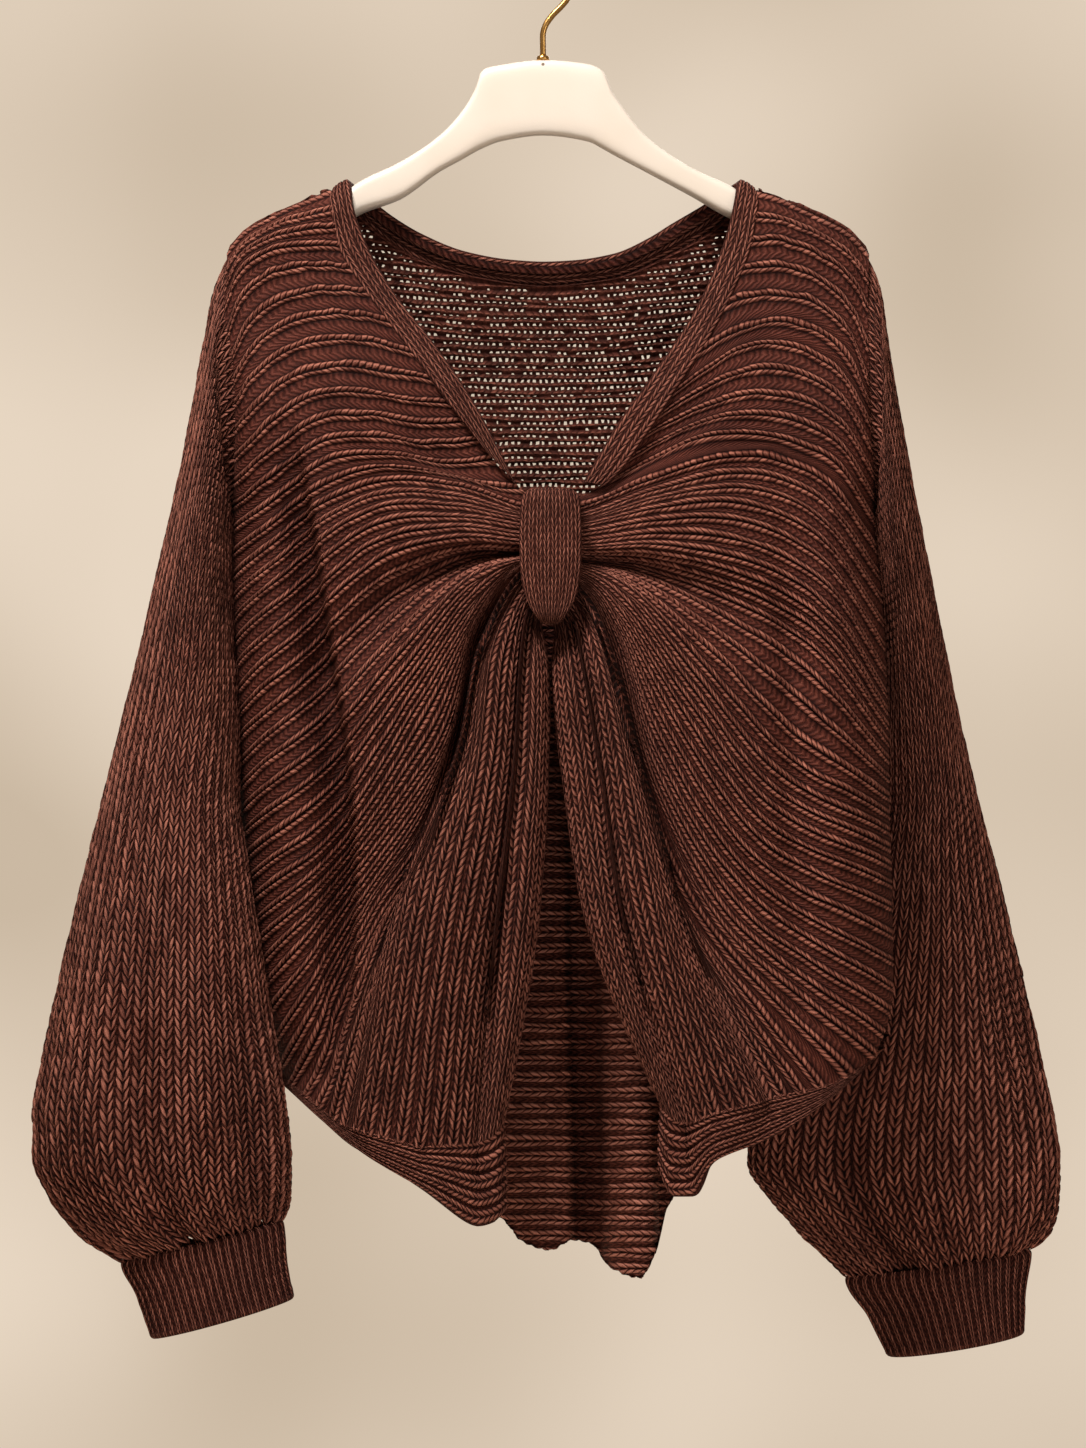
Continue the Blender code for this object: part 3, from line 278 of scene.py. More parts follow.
def through(knots, values, at):
    """A curve through the values that never swings past them, read at the given places."""
    knots = np.asarray(knots, float)
    values = np.asarray(values, float)
    at = np.clip(at, knots[0], knots[-1])
    tail = (1,) * (values.ndim - 1)
    step = np.diff(knots).reshape(-1, *tail)
    rise = np.diff(values, axis=0) / step
    slope = np.zeros_like(values)
    slope[0], slope[-1] = rise[0], rise[-1]
    before, after = step[:-1], step[1:]
    same = rise[:-1] * rise[1:] > 0
    bottom = np.where(same, (2 * after + before) / np.where(same, rise[:-1], 1) + (after + 2 * before) / np.where(same, rise[1:], 1), 1)
    slope[1:-1] = np.where(same, 3 * (before + after) / bottom, 0)
    i = np.clip(np.searchsorted(knots, at, side="right") - 1, 0, len(knots) - 2)
    h = (knots[i + 1] - knots[i]).reshape(np.shape(at) + tail)
    t = (at - knots[i]).reshape(np.shape(at) + tail) / h
    return (
        (1 + 2 * t) * (1 - t) ** 2 * values[i] + t * (1 - t) ** 2 * h * slope[i]
        + t * t * (3 - 2 * t) * values[i + 1] + t * t * (t - 1) * h * slope[i + 1]
    )


def bend_through(points, count):
    """A smooth curve through a few points, as that many evenly spaced places."""
    points = np.asarray(points, float)
    gaps = np.sqrt(np.linalg.norm(np.diff(points[:, :2], axis=0), axis=1)) + 1e-9
    at = np.concatenate([[0], np.cumsum(gaps)])
    slope = np.gradient(points, at, axis=0)
    t = np.linspace(0, at[-1], 24 * len(points))
    i = np.clip(np.searchsorted(at, t, side="right") - 1, 0, len(at) - 2)
    h = (at[i + 1] - at[i])[:, None]
    s = ((t - at[i]) / h[:, 0])[:, None]
    fine = (
        (1 + 2 * s) * (1 - s) ** 2 * points[i] + s * (1 - s) ** 2 * h * slope[i]
        + s * s * (3 - 2 * s) * points[i + 1] + s * s * (s - 1) * h * slope[i + 1]
    )
    run = np.concatenate([[0], np.cumsum(np.linalg.norm(np.diff(fine[:, :2], axis=0), axis=1))])
    even = np.linspace(0, run[-1], count)
    return np.stack([np.interp(even, run, fine[:, k]) for k in range(points.shape[1])], 1)


def ease(t):
    t = np.clip(t, 0, 1)
    return t * t * (3 - 2 * t)


def quarter_round(t):
    """Rises from 0 to 1 like the side of a circle."""
    return np.sqrt(np.clip(1 - (1 - np.clip(t, 0, 1)) ** 2, 0, 1))


def placed(column, row, depth):
    """A place on the ruled sheet, pushed along the line of sight to its depth, in metres."""
    scale = (VIEW + depth) / VIEW
    eye_z = (CREST_ROW - EYE_ROW) * GRID
    x = (column - AXIS_COLUMN) * GRID * scale
    z = eye_z + (EYE_ROW - row) * GRID * scale
    return np.stack(np.broadcast_arrays(x, depth, z), -1) / 1000


# ---------------------------------------------------------------- the body's round
level = columns_of(LEVEL_COLUMNS, LEVELS)
side = columns_of(SIDE_COLUMNS, SIDES)
top = columns_of(TOP_COLUMNS, TOP)
hanger = columns_of(HANGER_COLUMNS, HANGER)


def armhole_depth(row):
    middle, half = (ARMHOLE_TOP + ARMHOLE_FOOT) / 2, (ARMHOLE_FOOT - ARMHOLE_TOP) / 2
    return ARMHOLE_HALF_DEPTH * np.sqrt(np.clip(1 - ((row - middle) / half) ** 2, 0, 1))


def body_depth(column, row, face):
    """Depth of the body's round at a place on the sheet; face is -1 for the front and +1 for the back."""
    left = column > AXIS_COLUMN
    edge = np.where(left, through(side["row"], side["left"], row), through(side["row"], side["right"], row))
    seam = np.where(left, through(level["row"], level["seam_left"], row), through(level["row"], level["seam_right"], row))
    reach = through(level["row"], level["round"], row)
    inward = quarter_round(np.abs(edge - column) * GRID / reach)
    over_arm = through(top["column"], top["over_arm"], column)
    below_top = np.clip(row - through(top["column"], top["shoulder"], column), 0, None) * GRID
    full = through(level["row"], level["front" if face < 0 else "back"], row)
    stand = over_arm * quarter_round(below_top / over_arm) + np.clip(full - over_arm, 0, None) * ease(below_top / 150)
    armhole = armhole_depth(row)
    return seam * (1 - inward) + face * (armhole + (stand - armhole) * inward)


def unit(v):
    return v / np.maximum(np.linalg.norm(v, axis=-1, keepdims=True), 1e-12)


def normals_of(points, toward):
    """The facing of a grid of points, turned so that it looks the given way on the whole."""
    across = np.gradient(points, axis=1)
    down = np.gradient(points, axis=0)
    facing = unit(np.cross(across, down))
    if np.mean(facing @ np.asarray(toward, float)) < 0:
        facing = -facing
    return facing


# ---------------------------------------------------------------- fronts
def rib_curves(ribs, count=201):
    """Each rib of the table as evenly spaced places: column, row and stand."""
    t = columns_of(RIB_COLUMNS, ribs)
    curves = []
    for i in range(len(t["rib"])):
        stand_mid = (t["near_y"][i] + t["far_y"][i]) / 2
        stands = (t["gate_y"][i], t["gate_y"][i], t["near_y"][i], stand_mid, t["far_y"][i], t["end_y"][i])
        stops = [
            (t[key + "_x"][i], t[key + "_z"][i], stand)
            for key, stand in zip(("root", "gate", "near", "mid", "far", "end"), stands)
        ]
        curves.append(bend_through(stops, count))
    return t["rib"], np.array(curves)


def front_sheet(ribs, rib_numbers, along):
    """The front at given ribs and shares of their length: column, row and stand, as a grid."""
    numbers, curves = rib_curves(ribs)
    shares = np.linspace(0, 1, curves.shape[1])
    at = np.stack([
        np.stack([np.interp(along, shares, curve[:, k]) for k in range(3)], 1) for curve in curves
    ])
    rib_numbers = np.asarray(rib_numbers, float)
    sheet = through(numbers, at, rib_numbers)
    names = list(ribs)
    for crease, crest, most in TUBES:
        i, j = names.index(crease), names.index(crest)
        share = np.abs(rib_numbers - numbers[j]) / abs(numbers[i] - numbers[j])
        chosen = ((rib_numbers - numbers[i]) * (rib_numbers - numbers[j]) <= 0)
        full = np.radians(90 + (most - 90) * (1 - ease((along - 0.45) / 0.4)))[None, :, None]
        turn = share[chosen][:, None, None] * full
        apart = at[i] - at[j]
        sheet[chosen, :, :2] = (at[j] + apart * np.sin(turn) / np.sin(full))[..., :2]
        sheet[chosen, :, 2:] = (at[j] + apart * (1 - np.cos(turn)) / (1 - np.cos(full)))[..., 2:]
    return sheet


def long_fold(column, row):
    """How far the long fold of an outer front stands back (+) or forward (-), in millimetres."""
    t = columns_of(LONG_FOLD_COLUMNS, LONG_FOLDS["right"])
    apart, strength = column - through(t["row"], t["edge"], row), through(t["row"], t["strength"], row)
    crest = -9.0 * np.exp(-((np.clip(apart, 0, None) / 42) ** 2)) * ease((apart + 9) / 9)
    valley = 18.0 * ease(-apart / 12) * np.exp(-((np.clip(-apart - 16, 0, None) / 28) ** 2))
    pillow = -4.0 * np.exp(-(((apart + 78) / 30) ** 2))
    deep = np.where(column < AXIS_COLUMN, (crest + valley + pillow) * strength, 0)
    t = columns_of(LONG_FOLD_COLUMNS, LONG_FOLDS["left"])
    apart, strength = column - through(t["row"], t["edge"], row), through(t["row"], t["strength"], row)
    mild = 7.0 * np.exp(-(((apart + 12) / 17) ** 2)) - 4.0 * np.exp(-(((apart - 26) / 26) ** 2))
    return deep + np.where(column > AXIS_COLUMN, mild * strength, 0)


def front_points(sheet, lift=0.0):
    """The round under a sheet of places, its facing, and the cloth's outer face."""
    column, row, stand = sheet[..., 0], sheet[..., 1], sheet[..., 2] + long_fold(sheet[..., 0], sheet[..., 1])
    depth = np.minimum(body_depth(column, row, -1), 40)
    base = placed(column, row, depth)
    facing = normals_of(base, (0, -1, 0))
    outer = base + facing * (lift - stand)[..., None] / 1000
    return base, facing, outer


def ring_points(t, sides):
    """Oval rings from a table: from each outer point round the front to the inner point and back behind."""
    angle = np.linspace(0, 2 * math.pi, sides, endpoint=False)[None, :, None]
    outer = placed(t["outer_x"], t["outer_z"], t["middle"])
    inner = placed(t["inner_x"], t["inner_z"], t["middle"])
    centre, half = (outer + inner)[:, None] / 2, (outer - inner)[:, None] / 2
    forward = np.zeros_like(half)
    forward[..., 1] = -t["half_depth"][:, None] / 1000
    return centre + half * np.cos(angle) + forward * np.sin(angle)


def armhole_ring(edge, sign, sides):
    """The armhole's loop on the body's side, a little outside it."""
    angle = np.linspace(0, 2 * math.pi, sides, endpoint=False)
    middle, half = (ARMHOLE_TOP + ARMHOLE_FOOT) / 2, (ARMHOLE_FOOT - ARMHOLE_TOP) / 2
    row = middle - half * np.cos(angle)
    column = through(side["row"], side[edge], row) + sign * 1.8
    return placed(column, row, -ARMHOLE_HALF_DEPTH * np.sin(angle))


def hook_path():
    """Up from the ferrule, bent out to the +X side, over the crest and down to the tip on the -X side."""
    foot = (CREST_ROW - 56) * GRID + 0.5
    middle_z = WIRE_RADIUS - HOOK_RADIUS
    stem = [(0, foot), (0, foot + 7), (0, foot + 13.5), (1.6, foot + 19.5), (6.4, foot + 26.5), (11.8, foot + 32.0)]
    arc = [
        (HOOK_RADIUS * math.cos(math.radians(a)), middle_z + HOOK_RADIUS * math.sin(math.radians(a)))
        for a in range(-18, 206, 14)
    ]
    return bend_through(stem + arc, 34)


# ---------------------------------------------------------------- the knit's own sizes, millimetres
BODY_STITCH = 4.3      # of a stitch along a rib of a front
FOLD_STITCH = 5.8      # and in the folds that hang below the loop
BODY_WALE = 8.4        # widest a rib's chain of stitches grows
SLEEVE_STITCH = 7.5
SLEEVE_WALE = 8.6
SLEEVE_WALES = 42
BACK_ROW = 7.0         # sheet rows of one row of small gaps in the back's open upper knit
BACK_RIDGE = 16.0      # and from one rib of its lower part to the next
BACK_TURN = 604.0      # the sheet row where one gives way to the other
BACK_STITCHES = 104    # across the back
CUFF_RIBS = 42

rng = np.random.default_rng(41)


def smooth_noise(size, step, seed):
    """A grid of gentle random heights from -1 to 1, a value every few cells."""
    r = np.random.default_rng(seed)
    rows, cols = size
    coarse = r.uniform(-1, 1, (int(rows / step[0]) + 4, int(cols / step[1]) + 4))
    at_r, at_c = np.arange(rows) / step[0] + 1, np.arange(cols) / step[1] + 1
    i, j = at_r.astype(int), at_c.astype(int)
    s, t = ease(at_r - i)[:, None], ease(at_c - j)[None, :]
    a, b = coarse[i][:, j], coarse[i][:, j + 1]
    c, d = coarse[i + 1][:, j], coarse[i + 1][:, j + 1]
    return (a * (1 - t) + b * t) * (1 - s) + (c * (1 - t) + d * t) * s


def grid_mesh(name, points, uv, material, ring=False, keep=None, toward=None, kinds=None, painted_shade=None):
    """A mesh over a grid of points in metres. uv has one column more than the points on a ring. keep drops cells, and
    kinds marks the rows of points whose cells take the second material. painted_shade, from 0 to 1, is painted shade:
    how far the material darkens each point's colour, mostly where a point lies deep between its neighbours."""
    rows, cols = points.shape[:2]
    last = cols if ring else cols - 1
    r, c = np.meshgrid(np.arange(rows - 1), np.arange(last), indexing="ij")
    a, b = r * cols + c, r * cols + (c + 1) % cols
    quads = np.stack([a, b, b + cols, a + cols], -1)
    uv_cols = uv.shape[1]
    ua = r * uv_cols + c
    corner_uv = np.stack([ua, ua + 1, ua + 1 + uv_cols, ua + uv_cols], -1)
    kind = np.broadcast_to((np.zeros(rows - 1, bool) if kinds is None else np.asarray(kinds)[:-1])[:, None], quads.shape[:2])
    if keep is not None:
        quads, corner_uv, kind = quads[keep], corner_uv[keep], kind[keep]
    quads, corner_uv, kind = quads.reshape(-1, 4), corner_uv.reshape(-1, 4), kind.reshape(-1)
    flat = points.reshape(-1, 3)
    area = np.linalg.norm(np.cross(flat[quads[:, 2]] - flat[quads[:, 0]], flat[quads[:, 3]] - flat[quads[:, 1]]), axis=1)
    good = area > 1e-10
    quads, corner_uv, kind = quads[good], corner_uv[good], kind[good]
    if toward is not None:
        facing = np.cross(flat[quads[:, 2]] - flat[quads[:, 0]], flat[quads[:, 3]] - flat[quads[:, 1]])
        if (facing @ np.asarray(toward, float)).sum() < 0:
            quads, corner_uv = quads[:, ::-1], corner_uv[:, ::-1]
    used, index = np.unique(quads, return_inverse=True)
    quads = index.reshape(-1, 4)
    mesh = bpy.data.meshes.new(name)
    mesh.vertices.add(len(used))
    mesh.vertices.foreach_set("co", flat[used].astype(np.float32).ravel())
    mesh.loops.add(quads.size)
    mesh.loops.foreach_set("vertex_index", quads.astype(np.int32).ravel())
    mesh.polygons.add(len(quads))
    mesh.polygons.foreach_set("loop_start", np.arange(0, quads.size, 4, dtype=np.int32))
    mesh.polygons.foreach_set("loop_total", np.full(len(quads), 4, np.int32))
    mesh.polygons.foreach_set("use_smooth", np.ones(len(quads), bool))
    mesh.polygons.foreach_set("material_index", kind.astype(np.int32))
    layer = mesh.uv_layers.new(name="knit")
    # the painted shade amount of each point is stored as an attribute for the knit materials
    if painted_shade is not None:
        deep = mesh.attributes.new("painted_shade", "FLOAT", "POINT")
        deep.data.foreach_set("value", np.broadcast_to(painted_shade, points.shape[:2]).reshape(-1)[used].astype(np.float32))
    mesh.update(calc_edges=True)
    mesh.validate()
    layer = mesh.uv_layers["knit"]
    layer.data.foreach_set("uv", uv.reshape(-1, 2)[corner_uv.ravel()].astype(np.float32).ravel())
    mesh.materials.append(material)
    obj = bpy.data.objects.new(name, mesh)
    bpy.context.scene.collection.objects.link(obj)
    return obj


def put(obj, node):
    """Hands a finished piece over in place of its node."""
    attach(obj, "root")
    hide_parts(node)
    return obj


def strand(m, v, slope=0.85):
    """Height of a stitch's leg: m runs from the wale's middle, 0, to its edge, 1, and v counts stitches along it."""
    s = np.mod(v + slope * m, 1.0)
    middle = 0.5 - 0.2 * (2 * s - 1)
    across = np.sqrt(np.clip(1 - ((m - middle) / 0.55) ** 2, 0, 1))
    along = np.sqrt(np.clip(1 - (2 * s - 1) ** 4, 0, 1))
    return across * along


# Across one wale and the recess after it: where each column of points stands and how high, from 0 to 1.
# The place is counted in half wales from the wale's middle; 9 stands for the middle of the recess.
WALE_COLUMNS = ("place", "height")
WALE = ((-1.0, 0.42), (-0.70, 0.88), (-0.34, 1.0), (0.0, -0.15), (0.34, 1.0), (0.70, 0.88), (1.0, 0.42), (9, 0.55))


def wale_uv(place):
    """The place across a wale as the first number of its coordinates: 0 to 1 over the wale and 1 to 2 over the recess."""
    return np.where(place > 5, 1.5, 0.5 + 0.5 * place)


# ---------------------------------------------------------------- fronts
FRONT_ROWS = 164


def front_surface(ribs, fine):
    along = np.linspace(0, 1, FRONT_ROWS)
    sheet_ = front_sheet(ribs, fine, along)
    base, facing, outer = front_points(sheet_)
    outer = np.array(outer)
    return sheet_, outer


def front_knit(name, ribs, seed):
    numbers = [row[0] for row in ribs.values()]
    foot = int(numbers[-1])
    fine = np.arange(0, foot * 6 + 1) / 6
    sheet_, outer = front_surface(ribs, fine)
    facing = normals_of(outer, (0, -1, 0))
    facing = unit(facing)
    step = np.linalg.norm(np.gradient(outer, fine, axis=0), axis=-1) * 1000
    run = np.concatenate([np.zeros((len(fine), 1)), np.cumsum(np.linalg.norm(np.diff(outer, axis=1), axis=-1), 1)], 1) * 1000
    stitch = BODY_STITCH + (FOLD_STITCH - BODY_STITCH) * ease((fine - 0.62 * foot) / (0.16 * foot))
    run = run / stitch[:, None]
    rows = outer.shape[1]
    # where ribs crowd together, every second one sinks between its neighbours
    first_lobe = int(numbers[list(ribs).index("lobe_b_foot")])
    notch = int(numbers[list(ribs).index("notch")])
    halves, stands = [], []
    for i in range(foot + 1):
        p = step[i * 6]
        half = np.clip(BODY_WALE / 2 / p, 0.24, 0.46)
        start, span = (3.5, 2.2) if i >= first_lobe else (4.0, 2.2) if i > notch else (2.3, 1.5)
        apart = ease((p - start) / span)
        halves.append(half * (1 + 0.92 * (1 - apart)) if i % 2 == 0 else half * (0.06 + 0.94 * apart))
        stands.append(np.ones(rows) if i % 2 == 0 else apart)
    wanted, heights, us, vs, deep = [], [], [], [], []
    for i in range(foot + 1):
        for place, height in WALE:
            if place > 5:
                after = halves[i + 1] if i < foot else halves[i]
                number = i + (halves[i] + 1 - after) / 2
                stitches = (run[i * 6] + run[min((i + 1) * 6, len(fine) - 1)]) / 2
                stand = np.ones(rows)
            else:
                number = i + place * halves[i]
                stitches = run[i * 6]
                stand = stands[i]
            if number.max() > foot + 1e-6 or number.min() < -1e-6:
                continue
            wide = ease((step[i * 6] - 4.5) / 5)
            if place == 0:
                height = 0.85 if i in (0, foot) else 0.55 - 0.75 * wide
            wanted.append(number)
            heights.append(height * stand + 0.55 * (1 - stand))
            # painted shade: each rib's centre line is darkened, most where ribs lie wide, and its edges a little
            deep.append((0.10 + 0.80 * wide if place == 0 else 0.12 + 0.2 * wide if abs(place) == 1 else 0.0) * stand * (0 < i < foot))
            us.append(2 * i + wale_uv(np.float64(place)))
            vs.append(stitches)
    wanted, vs, heights = np.array(wanted), np.array(vs), np.array(heights)
    cols = len(wanted)
    wave = 0.055 * smooth_noise((cols, rows), (5, 12), seed + 5)
    wanted = np.clip(wanted + wave * np.clip(np.minimum(wanted, foot - wanted), 0, 1), 0, foot)
    at = np.empty((cols, rows, 3))
    face = np.empty((cols, rows, 3))
    period = np.empty((cols, rows))
    for r in range(rows):
        for k in range(3):
            at[:, r, k] = np.interp(wanted[:, r], fine, outer[:, r, k])
            face[:, r, k] = np.interp(wanted[:, r], fine, facing[:, r, k])
        period[:, r] = np.interp(wanted[:, r], fine, step[:, r])
    face = unit(face)
    # painted shade: where a rib stands back behind its neighbours, and where the long folds sink in, the colour is
    # darkened
    behind = np.empty((cols, rows))
    fold_shade_depth = long_fold(sheet_[..., 0], sheet_[..., 1]) * np.where(sheet_[..., 0] < AXIS_COLUMN, 1.0, 0.2)
    sunk_shade = 0.85 * np.clip((sheet_[..., 2] - 6) / 9, 0, 1)
    sunk_shade = 1 - (1 - sunk_shade) * (1 - 0.62 * np.clip((fold_shade_depth - 1) / 11, 0, 1))
    for r in range(rows):
        behind[:, r] = np.interp(wanted[:, r], fine, sunk_shade[:, r])
    painted_shade = 1 - (1 - behind) * (1 - np.array(deep))
    relief = np.clip(0.30 * period, 1.1, 2.9)
    wander = smooth_noise((cols, rows), (8, 9), seed)
    calm = 1 - 0.75 * ease((np.linspace(0, 1, rows) - 0.955) / 0.04)[None, :] * (wanted < numbers[list(ribs).index("corner")])
    height = (heights - 0.6) * relief * calm * (1 + 0.2 * wander) + 0.45 * smooth_noise((cols, rows), (30, 30), seed + 1)
    at = at + face * height[..., None] / 1000
    left = ribs is LEFT_RIBS
    column = AXIS_COLUMN + at[..., 0] * 1000 / GRID
    row = EYE_ROW - (at[..., 2] * 1000 - (CREST_ROW - EYE_ROW) * GRID) / GRID
    seam = through(level["row"], level["seam_left" if left else "seam_right"], row)
    limit = (seam - SEAM_GAP / 2) / 1000
    at[..., 1] = np.minimum(at[..., 1], limit)
    uv = np.stack([np.broadcast_to(np.array(us)[:, None], vs.shape), vs], -1)
    # the opening's edge rolls back on itself
    turn = []
    for back_off, inward in ((1.6, 0.7), (3.2, 0.2), (4.2, -2.2), (4.4, -6.0)):
        inner_way = unit(at[-1] - at[-4])
        turn.append(at[-1] - face[-1] * back_off / 1000 + inner_way * inward / 1000)
    at = np.concatenate([at, np.array(turn)], 0)
    more = np.repeat(uv[-1:], len(turn), 0)
    more[..., 0] += np.array([0.1, 0.2, 0.3, 0.4])[:, None]
    uv = np.concatenate([uv, more], 0)
    painted_shade = np.concatenate([painted_shade, np.full((len(turn), rows), 0.5)], 0)
    obj = grid_mesh(name + "_cloth", at, uv, MATERIAL["rib"], toward=(0, -1, 0), painted_shade=painted_shade, kinds=np.append(wanted[:, rows // 3] > first_lobe - 2, [True] * len(turn)))
    obj.data.materials.append(MATERIAL["fold"])
    return put(obj, name), fine, outer


# ---------------------------------------------------------------- back
# How far the back's hem end stands forward at a sheet column, in millimetres: two rolls with a deep valley between.
BACK_ROLL_COLUMNS = ("column", "forward")
BACK_ROLLS = (
    (440, 0), (490, 4), (512, 15), (535, 23), (555, 26), (566, 24), (571, 17), (574, -12), (586, -17), (599, -12),
    (606, 2), (622, 17), (642, 25), (652, 23), (656, 16), (659, -8), (680, -6), (720, 0),
)


def back_knit(name):
    thirds = np.array([0.0, 0.32, 0.60])
    wide = (BACK_COLUMNS_LAST - BACK_COLUMNS_FIRST) / BACK_STITCHES
    nominal = ((np.arange(BACK_STITCHES)[:, None] + thirds[None, :]) * wide).ravel() + BACK_COLUMNS_FIRST
    third = np.tile(np.arange(3), BACK_STITCHES)
    # only the part that shows through the neck is fine enough for gaps
    wanted = (third == 0) | (np.abs(nominal - 543) < 222)
    nominal, third = np.append(nominal[wanted], BACK_COLUMNS_LAST), np.append(third[wanted], 0)
    hem = columns_of(BACK_HEM_COLUMNS, BACK_HEM)
    high = through(top["column"], top["back"], nominal)
    low = through(hem["column"], hem["row"], nominal) - 1.0 + 1.8 * np.abs(np.sin(math.pi * nominal / 9.5))
    # open rows above, ribs below: where each line of the mesh lies, its row's number, how high it stands, its coordinate
    lines, numbers, stands, us = [], [], [], []
    for i in range(int(170 / BACK_ROW), int(BACK_TURN / BACK_ROW) + 1):
        for k, part in enumerate((0.0, 0.30, 0.68) if i % 3 == 0 and i * BACK_ROW > 350 else (0.0, 0.36, 0.60)):
            if (i + part) * BACK_ROW < BACK_TURN - 0.5:
                lines.append((i + part) * BACK_ROW)
                numbers.append((i, k))
                stands.append((0.85, 0.15, 0.3)[k])
                us.append(part)
    for i in range(int((1290 - BACK_TURN) / BACK_RIDGE) + 1):
        for k, (part, tall, u) in enumerate(((0.0, 0.05, -0.4), (0.15, 0.85, 0.08), (0.33, 1.0, 0.32), (0.50, 0.55, 0.5), (0.74, 1.0, 0.85))):
            lines.append(BACK_TURN + (i + part) * BACK_RIDGE)
            numbers.append((1000 + i, k))
            stands.append(tall)
            us.append(2 * i + u)
    lines, stands, us = np.array(lines), np.array(stands), np.array(us)
    which, part = np.array([n[0] for n in numbers]), np.array([n[1] for n in numbers])
    upper = which < 1000
    wave = 1.6 * smooth_noise((len(lines), len(nominal)), (4, 30), 61) + 0.8 * smooth_noise((len(lines), len(nominal)), (2, 9), 62)
    sag = -5.0 * np.clip(np.abs(nominal - 543) / 110, 0, 1.6) ** 2 * ease((520 - lines) / 220)[:, None] * ease((lines - 200) / 60)[:, None]
    row = np.clip(lines[:, None] + wave + sag, high[None, :] + 1.0, low[None, :])
    row = np.maximum.accumulate(row, axis=0)
    to_right = np.clip((331.0 - nominal) / (331.0 - nominal[0]), 0, 1)[None, :]
    to_left = np.clip((nominal - 757.0) / (nominal[-1] - 757.0), 0, 1)[None, :]
    column = (
        nominal[None, :]
        + to_right * (through(side["row"], side["right"], row) - nominal[0])
        + to_left * (through(side["row"], side["left"], row) - nominal[-1])
    )
    half_stitch = wide / 2 * ((which % 2) * upper)[:, None]
    inside = np.clip(np.minimum(nominal - nominal[0], nominal[-1] - nominal) / 30, 0, 1)[None, :]
    loose = np.random.default_rng(8).uniform(-0.85, 0.85, row.shape)
    column = column + (half_stitch + loose) * inside
    row = row + np.random.default_rng(9).uniform(-0.45, 0.45, row.shape) * inside * (row < BACK_TURN) * (row > high + 4)
    round_depth = body_depth(column, row, 1)
    rolls = columns_of(BACK_ROLL_COLUMNS, BACK_ROLLS)
    fade = ease((row - 760) / 330)
    lean = 5.0 * (row - 1200) / 300
    scallop = 3.0 * (stands - 0.5)[:, None] * ~upper[:, None]
    depth = round_depth - fade * through(rolls["column"], rolls["forward"], column - lean - scallop)
    outer = placed(column, row, depth)
    facing = normals_of(placed(column, row, round_depth + 1e-6), (0, 1, 0))
    noise = smooth_noise(row.shape, (3, 4), 7)
    tall = np.where(upper, 2.0, 3.6)
    height = -CLOTH / 2 - (stands - 0.5)[:, None] * tall[:, None] + 0.5 * noise
    bulge = ease((row - 900) / 120) * 2.2 * (stands > 0.9)[:, None]
    at = outer + facing * (height - bulge * 0.5)[..., None] / 1000
    left = column > AXIS_COLUMN
    seam = np.where(left, through(level["row"], level["seam_left"], row), through(level["row"], level["seam_right"], row))
    near_side = 1 - ease(np.minimum(column - through(side["row"], side["right"], row), through(side["row"], side["left"], row) - column) / 70)
    at[..., 1] = np.maximum(at[..., 1], (near_side * seam - 45 * (1 - near_side) + SEAM_GAP / 2) / 1000)
    across = (column - BACK_COLUMNS_FIRST) * GRID / 5.2
    uv = np.where(
        upper[:, None, None],
        np.stack([np.broadcast_to(nominal[None, :] / wide, row.shape), np.broadcast_to(lines[:, None] / BACK_ROW, row.shape)], -1),
        np.stack([np.broadcast_to(us[:, None], row.shape), across], -1),
    )
    # the small gaps between stitches, row by row, some rows of them taller
    j, i = np.meshgrid(np.arange(row.shape[0] - 1), np.arange(row.shape[1] - 1), indexing="ij")
    chance = np.random.default_rng(5).uniform(0, 1, row.shape)[:-1, :-1]
    at_row, at_column = row[:-1, :-1], column[:-1, :-1]
    strong = ((which[:-1] % 3) == 0)[:, None] & (at_row > 350)
    keep_chance = np.where(at_row > 520, 0.35, np.where(strong, 0.97, np.where(at_row > 350, 0.84, 0.80)))
    column_gap = third[i] == 2
    gap = (part[:-1] == 1)[:, None] & column_gap & (chance < keep_chance)
    edge = (at_row < high[None, :-1] + 5) | (row[1:, 1:] > low[None, 1:] - 14) | ~upper[:-1, None] | (at_row > 596)
    edge |= (np.abs(at_column - 543) > 215)
    gap &= ~edge
    forward = through(rolls["column"], rolls["forward"], column - lean - scallop)
    # painted shade in the valley between the two rolls at the hem end
    painted_shade = np.clip((8 - forward) / 20, 0, 1) * 0.60 * ease((row - 850) / 230) * ease((column - 470) / 30) * ease((735 - column) / 30)
    # painted shade: the ribs start as dark as the open knit above them and grow lighter, right across the back,
    # standing in for the shade behind the gap under the loop; the grooves between the ridges are darkened as painted
    # shade too
    gap_shade_onset = 0.78 * (1 - ease((row - BACK_TURN) / 260)) * ~upper[:, None]
    painted_shade = 1 - (1 - painted_shade) * (1 - gap_shade_onset) * (1 - (0.7 * (stands == 0.05) + 0.3 * (stands == 0.45))[:, None])
    piece = grid_mesh(name + "_cloth", at, uv, MATERIAL["purl"], keep=~gap, toward=(0, -1, 0), kinds=~upper, painted_shade=painted_shade)
    piece.data.materials.append(MATERIAL["inside"])
    return put(piece, name)


